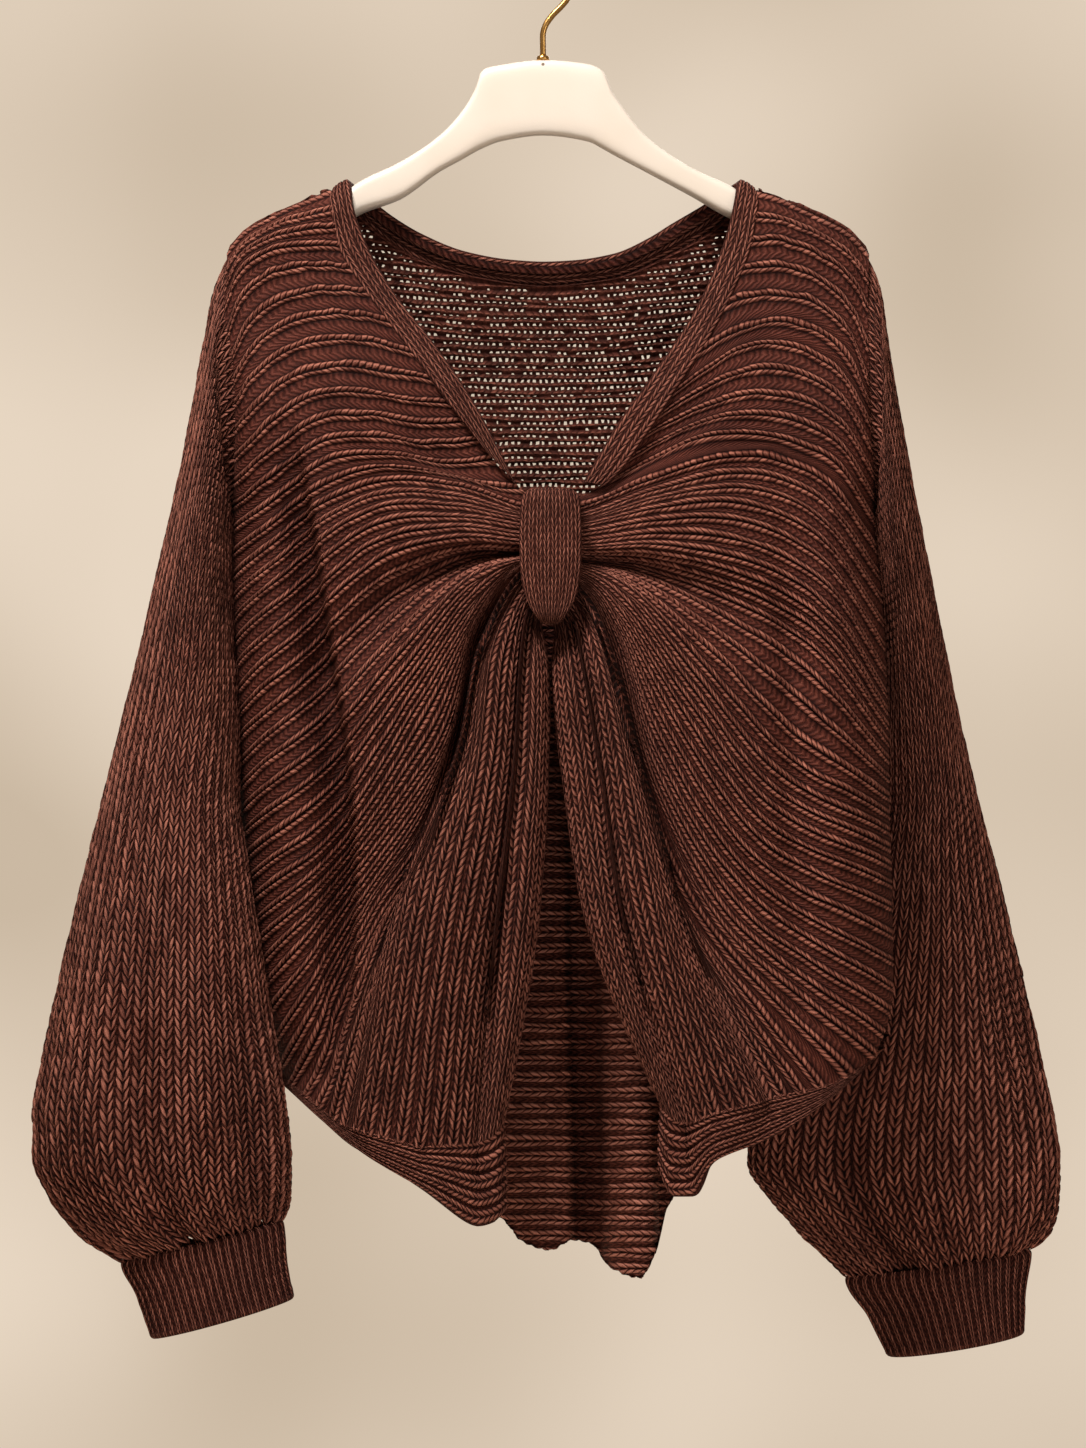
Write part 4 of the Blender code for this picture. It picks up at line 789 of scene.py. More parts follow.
# ---------------------------------------------------------------- sleeves and cuffs
def even_round(rings, count):
    """Each closed ring as that many places, evenly spaced along it."""
    closed = np.concatenate([rings, rings[:, :1]], 1)
    run = np.concatenate([np.zeros((len(rings), 1)), np.cumsum(np.linalg.norm(np.diff(closed, axis=1), axis=-1), 1)], 1)
    out = np.empty((len(rings), count + 1, 3))
    for r in range(len(rings)):
        at = np.linspace(0, run[r, -1], count + 1)
        for k in range(3):
            out[r, :, k] = np.interp(at, run[r], closed[r, :, k])
    return out[:, :-1]


def tube_surface(rings, rows, count):
    """Rings filled in smoothly along the tube, then spaced evenly round it."""
    gap = np.linalg.norm(np.diff(rings.mean(1), axis=0), axis=-1)
    gap = np.maximum(gap, np.linalg.norm(np.diff(rings, axis=0), axis=-1).mean(1))
    at = np.concatenate([[0], np.cumsum(gap)])
    dense = through(at, rings, np.linspace(0, at[-1], rows))
    return even_round(dense, count)


def ring_facing(points):
    around = np.roll(points, -1, 1) - np.roll(points, 1, 1)
    facing = unit(np.cross(np.gradient(points, axis=0), around))
    centre = points.mean(1, keepdims=True)
    if np.mean(np.sum(facing * (points - centre), -1)) < 0:
        facing = -facing
    return facing


# Soft folds of a sleeve: the share round it from its outer edge over the front, where it starts and ends along it,
# its half width round the sleeve and how far it stands out, in millimetres.
FOLD_COLUMNS = ("round", "start", "end", "half", "out")
SLEEVE_FOLDS = {
    "sleeve_right": (
        (0.16, 0.52, 0.97, 0.035, 3.0), (0.24, 0.62, 1.0, 0.028, -4.0), (0.33, 0.45, 0.95, 0.035, 3.5), (0.41, 0.60, 1.0, 0.03, -3.5),
        (0.62, 0.50, 1.0, 0.04, 4.0), (0.74, 0.55, 1.0, 0.04, -4.0), (0.86, 0.5, 0.98, 0.04, 3.5),
    ),
    "sleeve_left": (
        (0.14, 0.55, 0.97, 0.035, 3.0), (0.26, 0.50, 1.0, 0.03, 3.5), (0.335, 0.52, 1.0, 0.028, -6.0), (0.385, 0.50, 0.98, 0.03, 5.0),
        (0.60, 0.50, 1.0, 0.04, 4.0), (0.72, 0.55, 1.0, 0.04, -4.0), (0.87, 0.5, 0.98, 0.04, 3.5),
    ),
}


def sleeve_knit(name, table, edge, sign, seed):
    t = columns_of(RING_COLUMNS, table)
    tuck = t["outer_z"] < 800
    for k, column in enumerate(t["inner_x"]):
        reach = 11.0 * ease((t["outer_z"][k] - 270) / 60) * ease((760 - t["outer_z"][k]) / 120)
        t["inner_x"][k] = column - sign * reach
    start = armhole_ring(edge, sign, 96)
    start[:, 0] -= sign * 4.6 * GRID / 1000
    start[:, 1] *= 0.95
    rings = np.concatenate([start[None], ring_points(t, 96)])
    courses = 93
    rows = courses * 2 + 1
    fine = tube_surface(rings, rows, SLEEVE_WALES * 12)
    facing = ring_facing(fine)
    run = np.concatenate([np.zeros((1, fine.shape[1])), np.cumsum(np.linalg.norm(np.diff(fine, axis=0), axis=-1), 0)]) * 1000
    round_ = np.linalg.norm(np.roll(fine, -1, 1) - fine, axis=-1).sum(1) * 1000
    pitch = round_ / SLEEVE_WALES
    half = np.clip(SLEEVE_WALE / 2 / pitch, 0.3, 0.475)
    folds = columns_of(FOLD_COLUMNS, SLEEVE_FOLDS[name])
    # Six places across each wale, the recess among them, and four along each stitch. The mesh leans with the stitches'
    # legs, so that each leg is a grain of its own: from its outer upper end in and down to the wale's middle.
    places = (9, -0.80, -0.40, 0.0, 0.40, 0.80)
    steps = 4
    stages = (((0.0, 0.08), (0.22, 0.92), (0.5, 1.0), (0.78, 0.86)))
    r = np.random.default_rng(seed)
    cols = SLEEVE_WALES * len(places)
    slope = 0.85
    out_rows = courses * steps + 1
    course, stage = np.divmod(np.arange(out_rows), steps)
    s = np.array([stages[k][0] for k in stage])
    swell = np.array([stages[k][1] for k in stage])
    where, v = np.empty((out_rows, cols)), np.empty((out_rows, cols))
    us, leg = np.empty((out_rows, cols + 1)), np.empty((out_rows, cols))
    total = run[-1]
    share_of = run / total[None, :]
    middle = (np.arange(SLEEVE_WALES) * 12 + 6) % (SLEEVE_WALES * 12)
    half_mean = half.mean()
    common = 0.30 * smooth_noise((out_rows, SLEEVE_WALES), (40, 5), seed + 60) + 0.10 * smooth_noise((out_rows, SLEEVE_WALES), (12, 1.5), seed + 61)
    for w in range(SLEEVE_WALES):
        offset = r.uniform(-0.05, 0.05)
        drift = common[:, w]
        sway = 0.05 * smooth_noise((out_rows, 2), (5, 1), seed + 100 + w)[:, 0]
        for k, place in enumerate(places):
            c = w * len(places) + k
            if place > 5:
                where[:, c] = w + sway * 0.4
                v[:, c] = course + s - slope
                leg[:, c] = 0.0
                us[:, c] = 2 * w - 0.5
                continue
            m = abs(place)
            lean = 0.20 * (1 - 2 * s) if m > 0.1 else 0.0
            m_here = m + lean
            grain = r.uniform(0.78, 1.12, courses + 1)[course]
            nudge = r.uniform(-0.035, 0.035, courses + 1)[course]
            where[:, c] = w + 0.5 + np.sign(place) * (m_here + nudge * (m > 0.1)) * half_mean + sway
            v[:, c] = course + s - slope * m_here + offset + drift
            leg[:, c] = swell * grain if m > 0.1 else 0.10 + 0.25 * (s > 0.6)
            us[:, c] = 2 * w + 0.5 + 0.5 * np.sign(place) * m_here
    us[:, -1] = 2 * SLEEVE_WALES - 0.5
    wrapped = np.concatenate([fine, fine[:, :1]], 1)
    wrapped_facing = np.concatenate([facing, facing[:, :1]], 1)
    knots = np.arange(rows)
    at, face = np.empty((out_rows, cols, 3)), np.empty((out_rows, cols, 3))
    where = where % SLEEVE_WALES
    spot = np.clip(where * 12, 0, SLEEVE_WALES * 12 - 1e-6)
    a0 = spot.astype(int)
    at_a = (spot - a0)[..., None]
    share_at = np.clip(v / courses, 0, 1)
    row_at = np.empty_like(v)
    for c in range(cols):
        w = c // len(places)
        row_at[:, c] = np.interp(share_at[:, c], share_of[:, middle[w]], knots)
    r0 = np.clip(row_at.astype(int), 0, rows - 2)
    at_r = (row_at - r0)[..., None]
    for source, target in ((wrapped, at), (wrapped_facing, face)):
        target[:] = (
            (source[r0, a0] * (1 - at_a) + source[r0, a0 + 1] * at_a) * (1 - at_r)
            + (source[r0 + 1, a0] * (1 - at_a) + source[r0 + 1, a0 + 1] * at_a) * at_r
        )
    face = unit(face)
    share = share_at
    tall = np.interp(row_at, knots, np.clip(0.25 * pitch, 1.3, 2.2))
    lumps = smooth_noise((out_rows, cols), (7, 9), seed + 3)
    height = (leg - 0.62) * tall + 0.5 * lumps
    angle = where / SLEEVE_WALES
    for place, start, end, wide, out in zip(*(folds[k] for k in FOLD_COLUMNS)):
        fade = ease((share - start) / 0.16) * (1 if end >= 1 else ease((end - share) / 0.12))
        apart = np.abs(angle - place)
        apart = np.minimum(apart, 1 - apart)
        height = height + fade * out * np.exp(-((apart / wide) ** 2))
    # gathers where the sleeve is drawn into its cuff
    near = ease((share - 0.925) / 0.06)
    r = np.random.default_rng(seed + 9)
    gather = np.interp(angle % 1, np.linspace(0, 1, 45), np.concatenate([v_ := r.uniform(-1, 1, 44), v_[:1]]))
    height = height + near * 2.2 * gather
    edge_fade = ease(share / 0.012)
    at = at + face * (height * edge_fade)[..., None] / 1000
    uv = np.stack([us, np.concatenate([v, v[:, :1]], 1)], -1)
    # painted shade: the gaps between the stitches' legs are darkened, and the folds that sink in more so
    painted_shade = 0.55 * (1 - ease(leg / 0.55)) * np.ones_like(height)
    sunk_shade = np.zeros_like(height)
    for place, start, end, wide, out in zip(*(folds[k] for k in FOLD_COLUMNS)):
        if out < 0:
            fade = ease((share - start) / 0.16) * (1 if end >= 1 else ease((end - share) / 0.12))
            apart = np.abs(angle - place)
            sunk_shade = np.maximum(sunk_shade, fade * min(1, -out / 6) * np.exp(-((np.minimum(apart, 1 - apart) / wide) ** 2)))
    painted_shade = 1 - (1 - painted_shade) * (1 - 0.55 * sunk_shade)
    obj = grid_mesh(name + "_cloth", at, uv, MATERIAL["stockinette"], ring=True, painted_shade=painted_shade)
    return put(obj, name)


def cuff_knit(name, table, seed):
    t = columns_of(RING_COLUMNS, table)
    rows = 46
    rings = ring_points(t, 96)
    tucked = rings[:1] + (rings[:1] - rings[1:2]) * 0.12
    tucked = tucked + (tucked.mean(1, keepdims=True) - tucked) * 0.05
    fine = tube_surface(np.concatenate([tucked, rings]), rows, CUFF_RIBS * 8)
    facing = ring_facing(fine)
    run = np.concatenate([np.zeros((1, fine.shape[1])), np.cumsum(np.linalg.norm(np.diff(fine, axis=0), axis=-1), 0)]) * 1000
    places = ((9, 0.0), (-0.8, 0.7), (-0.35, 1.0), (0.0, 0.85), (0.35, 1.0), (0.8, 0.7))
    cols = CUFF_RIBS * len(places)
    where, base_h = np.empty(cols), np.empty(cols)
    us = np.empty(cols + 1)
    for w in range(CUFF_RIBS):
        for k, (place, height) in enumerate(places):
            c = w * len(places) + k
            where[c] = w + 0.5 + (place * 0.32 if place < 5 else -0.5)
            base_h[c] = height
            us[c] = 2 * w + (0.5 + 0.5 * place if place < 5 else -0.5)
    us[-1] = 2 * CUFF_RIBS - 0.5
    wrapped = np.concatenate([fine, fine[:, :1]], 1)
    wrapped_facing = np.concatenate([facing, facing[:, :1]], 1)
    knots = np.arange(CUFF_RIBS * 8 + 1) / 8
    at, face = np.empty((rows, cols, 3)), np.empty((rows, cols, 3))
    for r in range(rows):
        for k in range(3):
            at[r, :, k] = np.interp(where, knots, wrapped[r, :, k])
            face[r, :, k] = np.interp(where, knots, wrapped_facing[r, :, k])
    face = unit(face)
    v = np.interp(np.arange(cols + 1), np.arange(0, cols + 1), np.zeros(cols + 1))[None, :] + (run[:, :1] / 4.2)
    height = (base_h[None, :] - 0.6) * 2.3 + 0.25 * smooth_noise((rows, cols), (4, 5), seed)
    share = np.linspace(0, 1, rows)[:, None]
    bound = ease((share - 0.93) / 0.03)
    height = height * (1 - bound) + bound * (0.5 + 0.5 * np.cos((share - 0.965) / 0.035 * math.pi / 2))
    at = at + face * height[..., None] / 1000
    # the bound edge turns in
    down = unit(at[-1] - at[-3])
    lip = [(0.6, 0.8), (1.8, 1.0), (2.9, 0.3), (3.0, -3.0), (3.0, -9.0)]
    more = [at[-1] - face[-1] * inward / 1000 + down * way / 1000 for inward, way in lip]
    at = np.concatenate([at, np.array(more)], 0)
    v = np.concatenate([v, v[-1:] + np.arange(1, 6)[:, None] * 0.25], 0)
    uv = np.stack([np.broadcast_to(us[None, :], v.shape), v], -1)
    # painted shade in the grooves between the cuff's ribs, fading on the bound edge
    painted_shade = np.broadcast_to(np.where(base_h < 0.1, 0.8, np.where(base_h < 0.75, 0.2, 0.0))[None, :], at.shape[:2])
    painted_shade = painted_shade * np.concatenate([1 - 0.8 * bound[:, 0], np.full(5, 0.2)])[:, None]
    obj = grid_mesh(name + "_cloth", at, uv, MATERIAL["band"], ring=True, painted_shade=painted_shade)
    return put(obj, name)


# ---------------------------------------------------------------- bands and loop
def wales_across(count, gap=0.0):
    """Places from 0 to 1 across a band of so many wales side by side, with their heights and coordinates."""
    share, height, u = [], [], []
    for w in range(count):
        for place, tall in ((9, 0.0), (-0.8, 0.72), (-0.4, 1.0), (0.0, 0.68), (0.4, 1.0), (0.8, 0.72)):
            share.append((w + 0.5 + (place * 0.46 if place < 5 else -0.5)) / count)
            height.append(tall)
            u.append(2 * w + (0.5 + 0.5 * place if place < 5 else -0.5))
    share.append(1.0)
    height.append(0.0)
    u.append(2 * count - 0.5)
    return np.array(share), np.array(height), np.array(u)


def band_knit(name, seam, free, wales, bulge, relief, stitch=4.0, lip=3.2, back_turn=7.0, toward_=(0, -1, 0), seed=3, groove_shade=0.7):
    """A band between two lines of points: rounded across, chained along, its free edge turned under."""
    rows = len(seam)
    share, height, u = wales_across(wales)
    at = seam[:, None] * (1 - share)[None, :, None] + free[:, None] * share[None, :, None]
    facing = unit(np.cross(np.gradient(at, axis=1), np.gradient(at, axis=0)))
    if np.mean(facing @ np.asarray(toward_, float)) < 0:
        facing = -facing
    wide = np.linalg.norm(free - seam, axis=-1) * 1000
    rise = bulge * np.sqrt(np.clip(1 - (2 * share - 1) ** 2, 0, 1)) - 0.2
    scale = np.clip(wide / wales / 4.2, 0.5, 1.3)[:, None]
    tall = rise[None, :] + (height - 0.5)[None, :] * relief * scale + 0.2 * smooth_noise((rows, len(share)), (7, 5), seed)
    at = at + facing * tall[..., None] / 1000
    across = unit(free - seam)
    face = facing[:, -1]
    turn = []
    for back_off, way in ((0.9, 0.5), (lip * 0.62, 0.35), (lip, -0.6), (lip, -back_turn * 0.5), (lip * 0.9, -back_turn)):
        turn.append(at[:, -1] - face * back_off / 1000 + across * way / 1000)
    at = np.concatenate([at, np.stack(turn, 1)], 1)
    u = np.concatenate([u, u[-1] + np.arange(1, 6) * 0.4])
    middle = (seam + free) / 2
    run = np.concatenate([[0], np.cumsum(np.linalg.norm(np.diff(middle, axis=0), axis=-1))]) * 1000 / stitch
    uv = np.stack(np.broadcast_arrays(u[None, :], run[:, None]), -1)
    # painted shade in the grooves between the wales and, a little, on the turned-under edge
    painted_shade = np.concatenate([np.where(height < 0.1, groove_shade, np.where(height < 0.7, 0.3 * groove_shade, 0.0)), np.full(5, 0.3)])
    obj = grid_mesh(name + "_cloth", at, uv, MATERIAL["band"], toward=toward_, painted_shade=painted_shade[None, :])
    return put(obj, name)


def toward_line(a, b, step):
    d = b - a
    return a + d / np.linalg.norm(d, axis=-1, keepdims=True) * step


def even_line(lines, count, weight=0):
    """Several lines that run together, read smoothly at evenly spaced places along the first pair's middle."""
    stacked = np.concatenate(lines, 1)
    middle = (lines[0] + lines[1]) / 2
    at = np.concatenate([[0], np.cumsum(np.linalg.norm(np.diff(middle, axis=0), axis=-1))])
    even = through(at, stacked, np.linspace(0, at[-1], count))
    return even[:, :3], even[:, 3:6]


def neckband_lines(gap=-4.0):
    lines = []
    for ribs, table in ((RIGHT_RIBS, RIGHT_NECKBAND), (LEFT_RIBS, LEFT_NECKBAND)):
        t = columns_of(("rib", "free_x", "free_z"), table)
        at = np.arange(0.4, t["rib"][-1] + 0.01, 0.4)
        seam = front_sheet(ribs, at, np.array([0.0, 0.001]))[:, 0, :2]
        free = through(t["rib"], np.stack([t["free_x"], t["free_z"]], 1), at)
        seam = toward_line(seam, free, gap)
        lines.append([placed(e[:, 0], e[:, 1], body_depth(e[:, 0], e[:, 1], -1)) for e in (seam, free)])
    t = columns_of(BACK_NECK_COLUMNS, BACK_NECK)
    seam = np.stack([t["seam_column"], through(top["column"], top["back"], t["seam_column"])], 1)
    free = np.stack([t["free_x"], t["free_z"]], 1)
    seam = toward_line(seam, free, gap)
    behind = [placed(e[:, 0], e[:, 1], body_depth(e[:, 0], e[:, 1], 1)) for e in (seam, free)]
    peaks = [
        (placed(333, 189.6, 0)[None], placed(349, 180, 0)[None]),
        (placed(755, 189.6, 0)[None], placed(739, 180, 0)[None]),
    ]
    (right, left) = lines
    return [np.concatenate([right[k][::-1], peaks[0][k], behind[k], peaks[1][k], left[k]]) for k in (0, 1)]


def hem_lines(fine, outer, table, count):
    t = columns_of(HEM_COLUMNS, table)
    numbers = np.linspace(t["rib"][0], t["rib"][-1], count)
    seam = np.stack([np.interp(numbers, fine, outer[:, -1, k]) for k in range(3)], 1) + np.array([0, 1.6, 2.6]) / 1000
    low = through(t["rib"], np.stack([t["low_x"], t["low_z"], t["depth"]], 1), numbers)
    free = placed(low[:, 0], low[:, 1], body_depth(low[:, 0], low[:, 1], -1) + low[:, 2])
    return even_line([seam, free], count)


def loop_knit(name):
    """The knitted loop: fine wales run down its face and turn in at the top and the foot."""
    high, foot = (LOOP_TOP - EYE_ROW) * GRID, (LOOP_FOOT - EYE_ROW) * GRID
    round_in = 9.0
    profile = [(LOOP_FRONT + LOOP_TOP_RETURN, high + 1.5)]
    for k in range(9):
        a = math.pi / 2 * (k / 8)
        profile.append((LOOP_FRONT + round_in * (1 - math.sin(a)), high + round_in * (1 - math.cos(a))))
    for k in np.linspace(0.08, 0.92, 12):
        z = high + round_in + k * (foot - high - 2 * round_in)
        profile.append((LOOP_FRONT - 1.5 * math.sin(math.pi * k), z))
    for k in range(9):
        a = math.pi / 2 * (k / 8)
        profile.append((LOOP_FRONT + round_in * (1 - math.cos(a)), foot - round_in * (1 - math.sin(a))))
    profile.append((LOOP_FRONT + LOOP_FOOT_RETURN, foot - 1.0))
    profile = np.array(profile)
    run = np.concatenate([[0], np.cumsum(np.linalg.norm(np.diff(profile, axis=0), axis=1))])
    profile = through(run, profile, np.linspace(0, run[-1], 110))
    share, height, u = wales_across(8)
    knots = (0, 0.1, 0.5, 0.9, 1)
    back_off = 9.0 * (1 - np.sqrt(np.clip(1 - ((share - 0.5) / 0.535) ** 2, 0, 1)))
    narrow = through(knots, (5.5, 1.8, 0, 1.8, 5.5), share)
    row = EYE_ROW + profile[:, 1] / GRID
    outline = columns_of(LOOP_OUTLINE_COLUMNS, LOOP_OUTLINE)
    half = through(outline["row"], outline["half"], row)
    column = (LOOP_LEFT + LOOP_RIGHT) / 2 + (2 * share - 1)[None, :] * half[:, None]
    middle = (LOOP_TOP + LOOP_FOOT) / 2
    rows_ = middle + (row[:, None] - middle) * (1 - narrow / ((LOOP_FOOT - LOOP_TOP) / 2))[None, :]
    at = placed(column, rows_, profile[:, :1] + back_off[None, :] * (half / 31.3)[:, None] ** 2)
    facing = unit(np.cross(np.gradient(at, axis=1), np.gradient(at, axis=0)))
    if np.mean(facing @ np.array([0.0, -1, 0])) < 0:
        facing = -facing
    tall = (height - 0.7)[None, :] * 0.45 + 0.2 * smooth_noise((at.shape[0], len(share)), (6, 5), 17)
    at = at + facing * tall[..., None] / 1000
    run = np.linspace(0, run[-1], len(profile)) / 5.0
    # its two sides turn under
    sides = []
    for k, sgn in ((0, -1), (-1, 1)):
        turned = []
        for back_off_, way in ((1.2, 0.3), (3.0, 0.1), (4.2, -1.6)):
            turned.append(at[:, k] - facing[:, k] * 0 + np.array([sgn * way, back_off_, 0]) / 1000)
        sides.append(turned)
    at = np.concatenate([np.stack(sides[0][::-1], 1), at, np.stack(sides[1], 1)], 1)
    u = np.concatenate([u[0] - np.array([0.9, 0.6, 0.3]), u, u[-1] + np.array([0.3, 0.6, 0.9])])
    uv = np.stack(np.broadcast_arrays(u[None, :], run[:, None]), -1)
    obj = grid_mesh(name + "_cloth", at, uv, MATERIAL["band"], toward=(0, -1, 0))
    return put(obj, name)


# ---------------------------------------------------------------- hanger
def solid_rings(name, rings, material, node):
    """A closed loft through rings of points, its ends drawn in to a point."""
    first, last = rings[:1].mean(1, keepdims=True), rings[-1:].mean(1, keepdims=True)
    n = rings.shape[1]
    rings = np.concatenate([np.repeat(first, n, 1), rings, np.repeat(last, n, 1)])
    uv = np.zeros((rings.shape[0], n + 1, 2))
    uv[..., 0] = np.linspace(0, 1, n + 1)[None, :]
    uv[..., 1] = np.linspace(0, 1, rings.shape[0])[:, None]
    obj = grid_mesh(name, rings, uv, material, ring=True)
    fix = obj.data
    fix.update()
    return put(obj, node)


def hanger_knit():
    h = hanger
    count = 170
    columns = np.concatenate([np.linspace(248, 252, 6), np.linspace(252, 846, count), np.linspace(846, 850, 6)])
    columns = np.unique(columns)
    high, foot = through(h["column"], h["top"], columns), through(h["column"], h["foot"], columns)
    thick, square = through(h["column"], h["half_thick"], columns), through(h["column"], h["square"], columns)
    square = square + 1.5 + 0.7 * ease((square - 2) / 0.6)
    angle = np.linspace(0, 2 * math.pi, 44, endpoint=False)
    rings = []
    for x, a, b, w, q in zip(columns, high, foot, thick, square):
        c, s = np.cos(angle), np.sin(angle)
        across = np.sign(c) * np.abs(c) ** (2 / q)
        up = np.sign(s) * np.abs(s) ** (2 / q)
        z = (CREST_ROW - (a + b) / 2) * GRID + up * (b - a) / 2 * GRID
        rings.append(np.stack([np.full_like(z, (x - AXIS_COLUMN) * GRID), across * w, z], 1) / 1000)
    return solid_rings("hanger_body_shape", np.array(rings), MATERIAL["hanger"], "hanger_body")


def round_rings(path, radius, sides):
    path = np.asarray(path, float)
    run = unit(np.gradient(path, axis=0))
    angle = np.linspace(0, 2 * math.pi, sides, endpoint=False)
    radius = np.broadcast_to(radius, (len(path),))
    return np.array([
        np.stack([x + q * np.cos(angle) * tz, q * np.sin(angle), z - q * np.cos(angle) * tx], 1) / 1000
        for (x, z), (tx, tz), q in zip(path, run, radius)
    ])


# ---------------------------------------------------------------- materials
class Sums:
    """Builds sums of sockets in a node tree."""

    def __init__(self, tree):
        self.tree = tree

    def node(self, kind, **settings):
        made = self.tree.nodes.new(kind)
        for key, value in settings.items():
            setattr(made, key, value)
        return made

    def feed(self, socket, value):
        if isinstance(value, (int, float, tuple)):
            socket.default_value = value
        else:
            self.tree.links.new(value, socket)

    def do(self, operation, *values, clamp=False):
        made = self.node("ShaderNodeMath", operation=operation, use_clamp=clamp)
        for i, value in enumerate(values):
            self.feed(made.inputs[i], value)
        return made.outputs[0]

    def add(self, a, b): return self.do("ADD", a, b)
    def sub(self, a, b): return self.do("SUBTRACT", a, b)
    def mul(self, a, b): return self.do("MULTIPLY", a, b)
    def sin(self, a): return self.do("SINE", a)
    def clip(self, a): return self.do("ADD", a, 0.0, clamp=True)
    def root(self, a): return self.do("SQRT", self.do("MAXIMUM", a, 0.0))

    def mix(self, share, a, b):
        made = self.node("ShaderNodeMix", data_type="RGBA")
        for socket, value in ((made.inputs[0], share), (made.inputs[6], a), (made.inputs[7], b)):
            self.feed(socket, value)
        return made.outputs[2]

    def blend(self, share, a, b):
        return self.add(self.mul(a, self.sub(1.0, share)), self.mul(b, share))

    def noise(self, vector, scale, detail=2.0, rough=0.5):
        made = self.node("ShaderNodeTexNoise")
        self.feed(made.inputs["Vector"], vector)
        made.inputs["Scale"].default_value = scale
        made.inputs["Detail"].default_value = detail
        made.inputs["Roughness"].default_value = rough
        return made.outputs["Fac"]


def new_material(name, roughness):
    material = bpy.data.materials.new(name)
    material.use_nodes = True
    tree = material.node_tree
    shader = tree.nodes["Principled BSDF"]
    shader.inputs["Roughness"].default_value = roughness
    return material, tree, shader, Sums(tree)


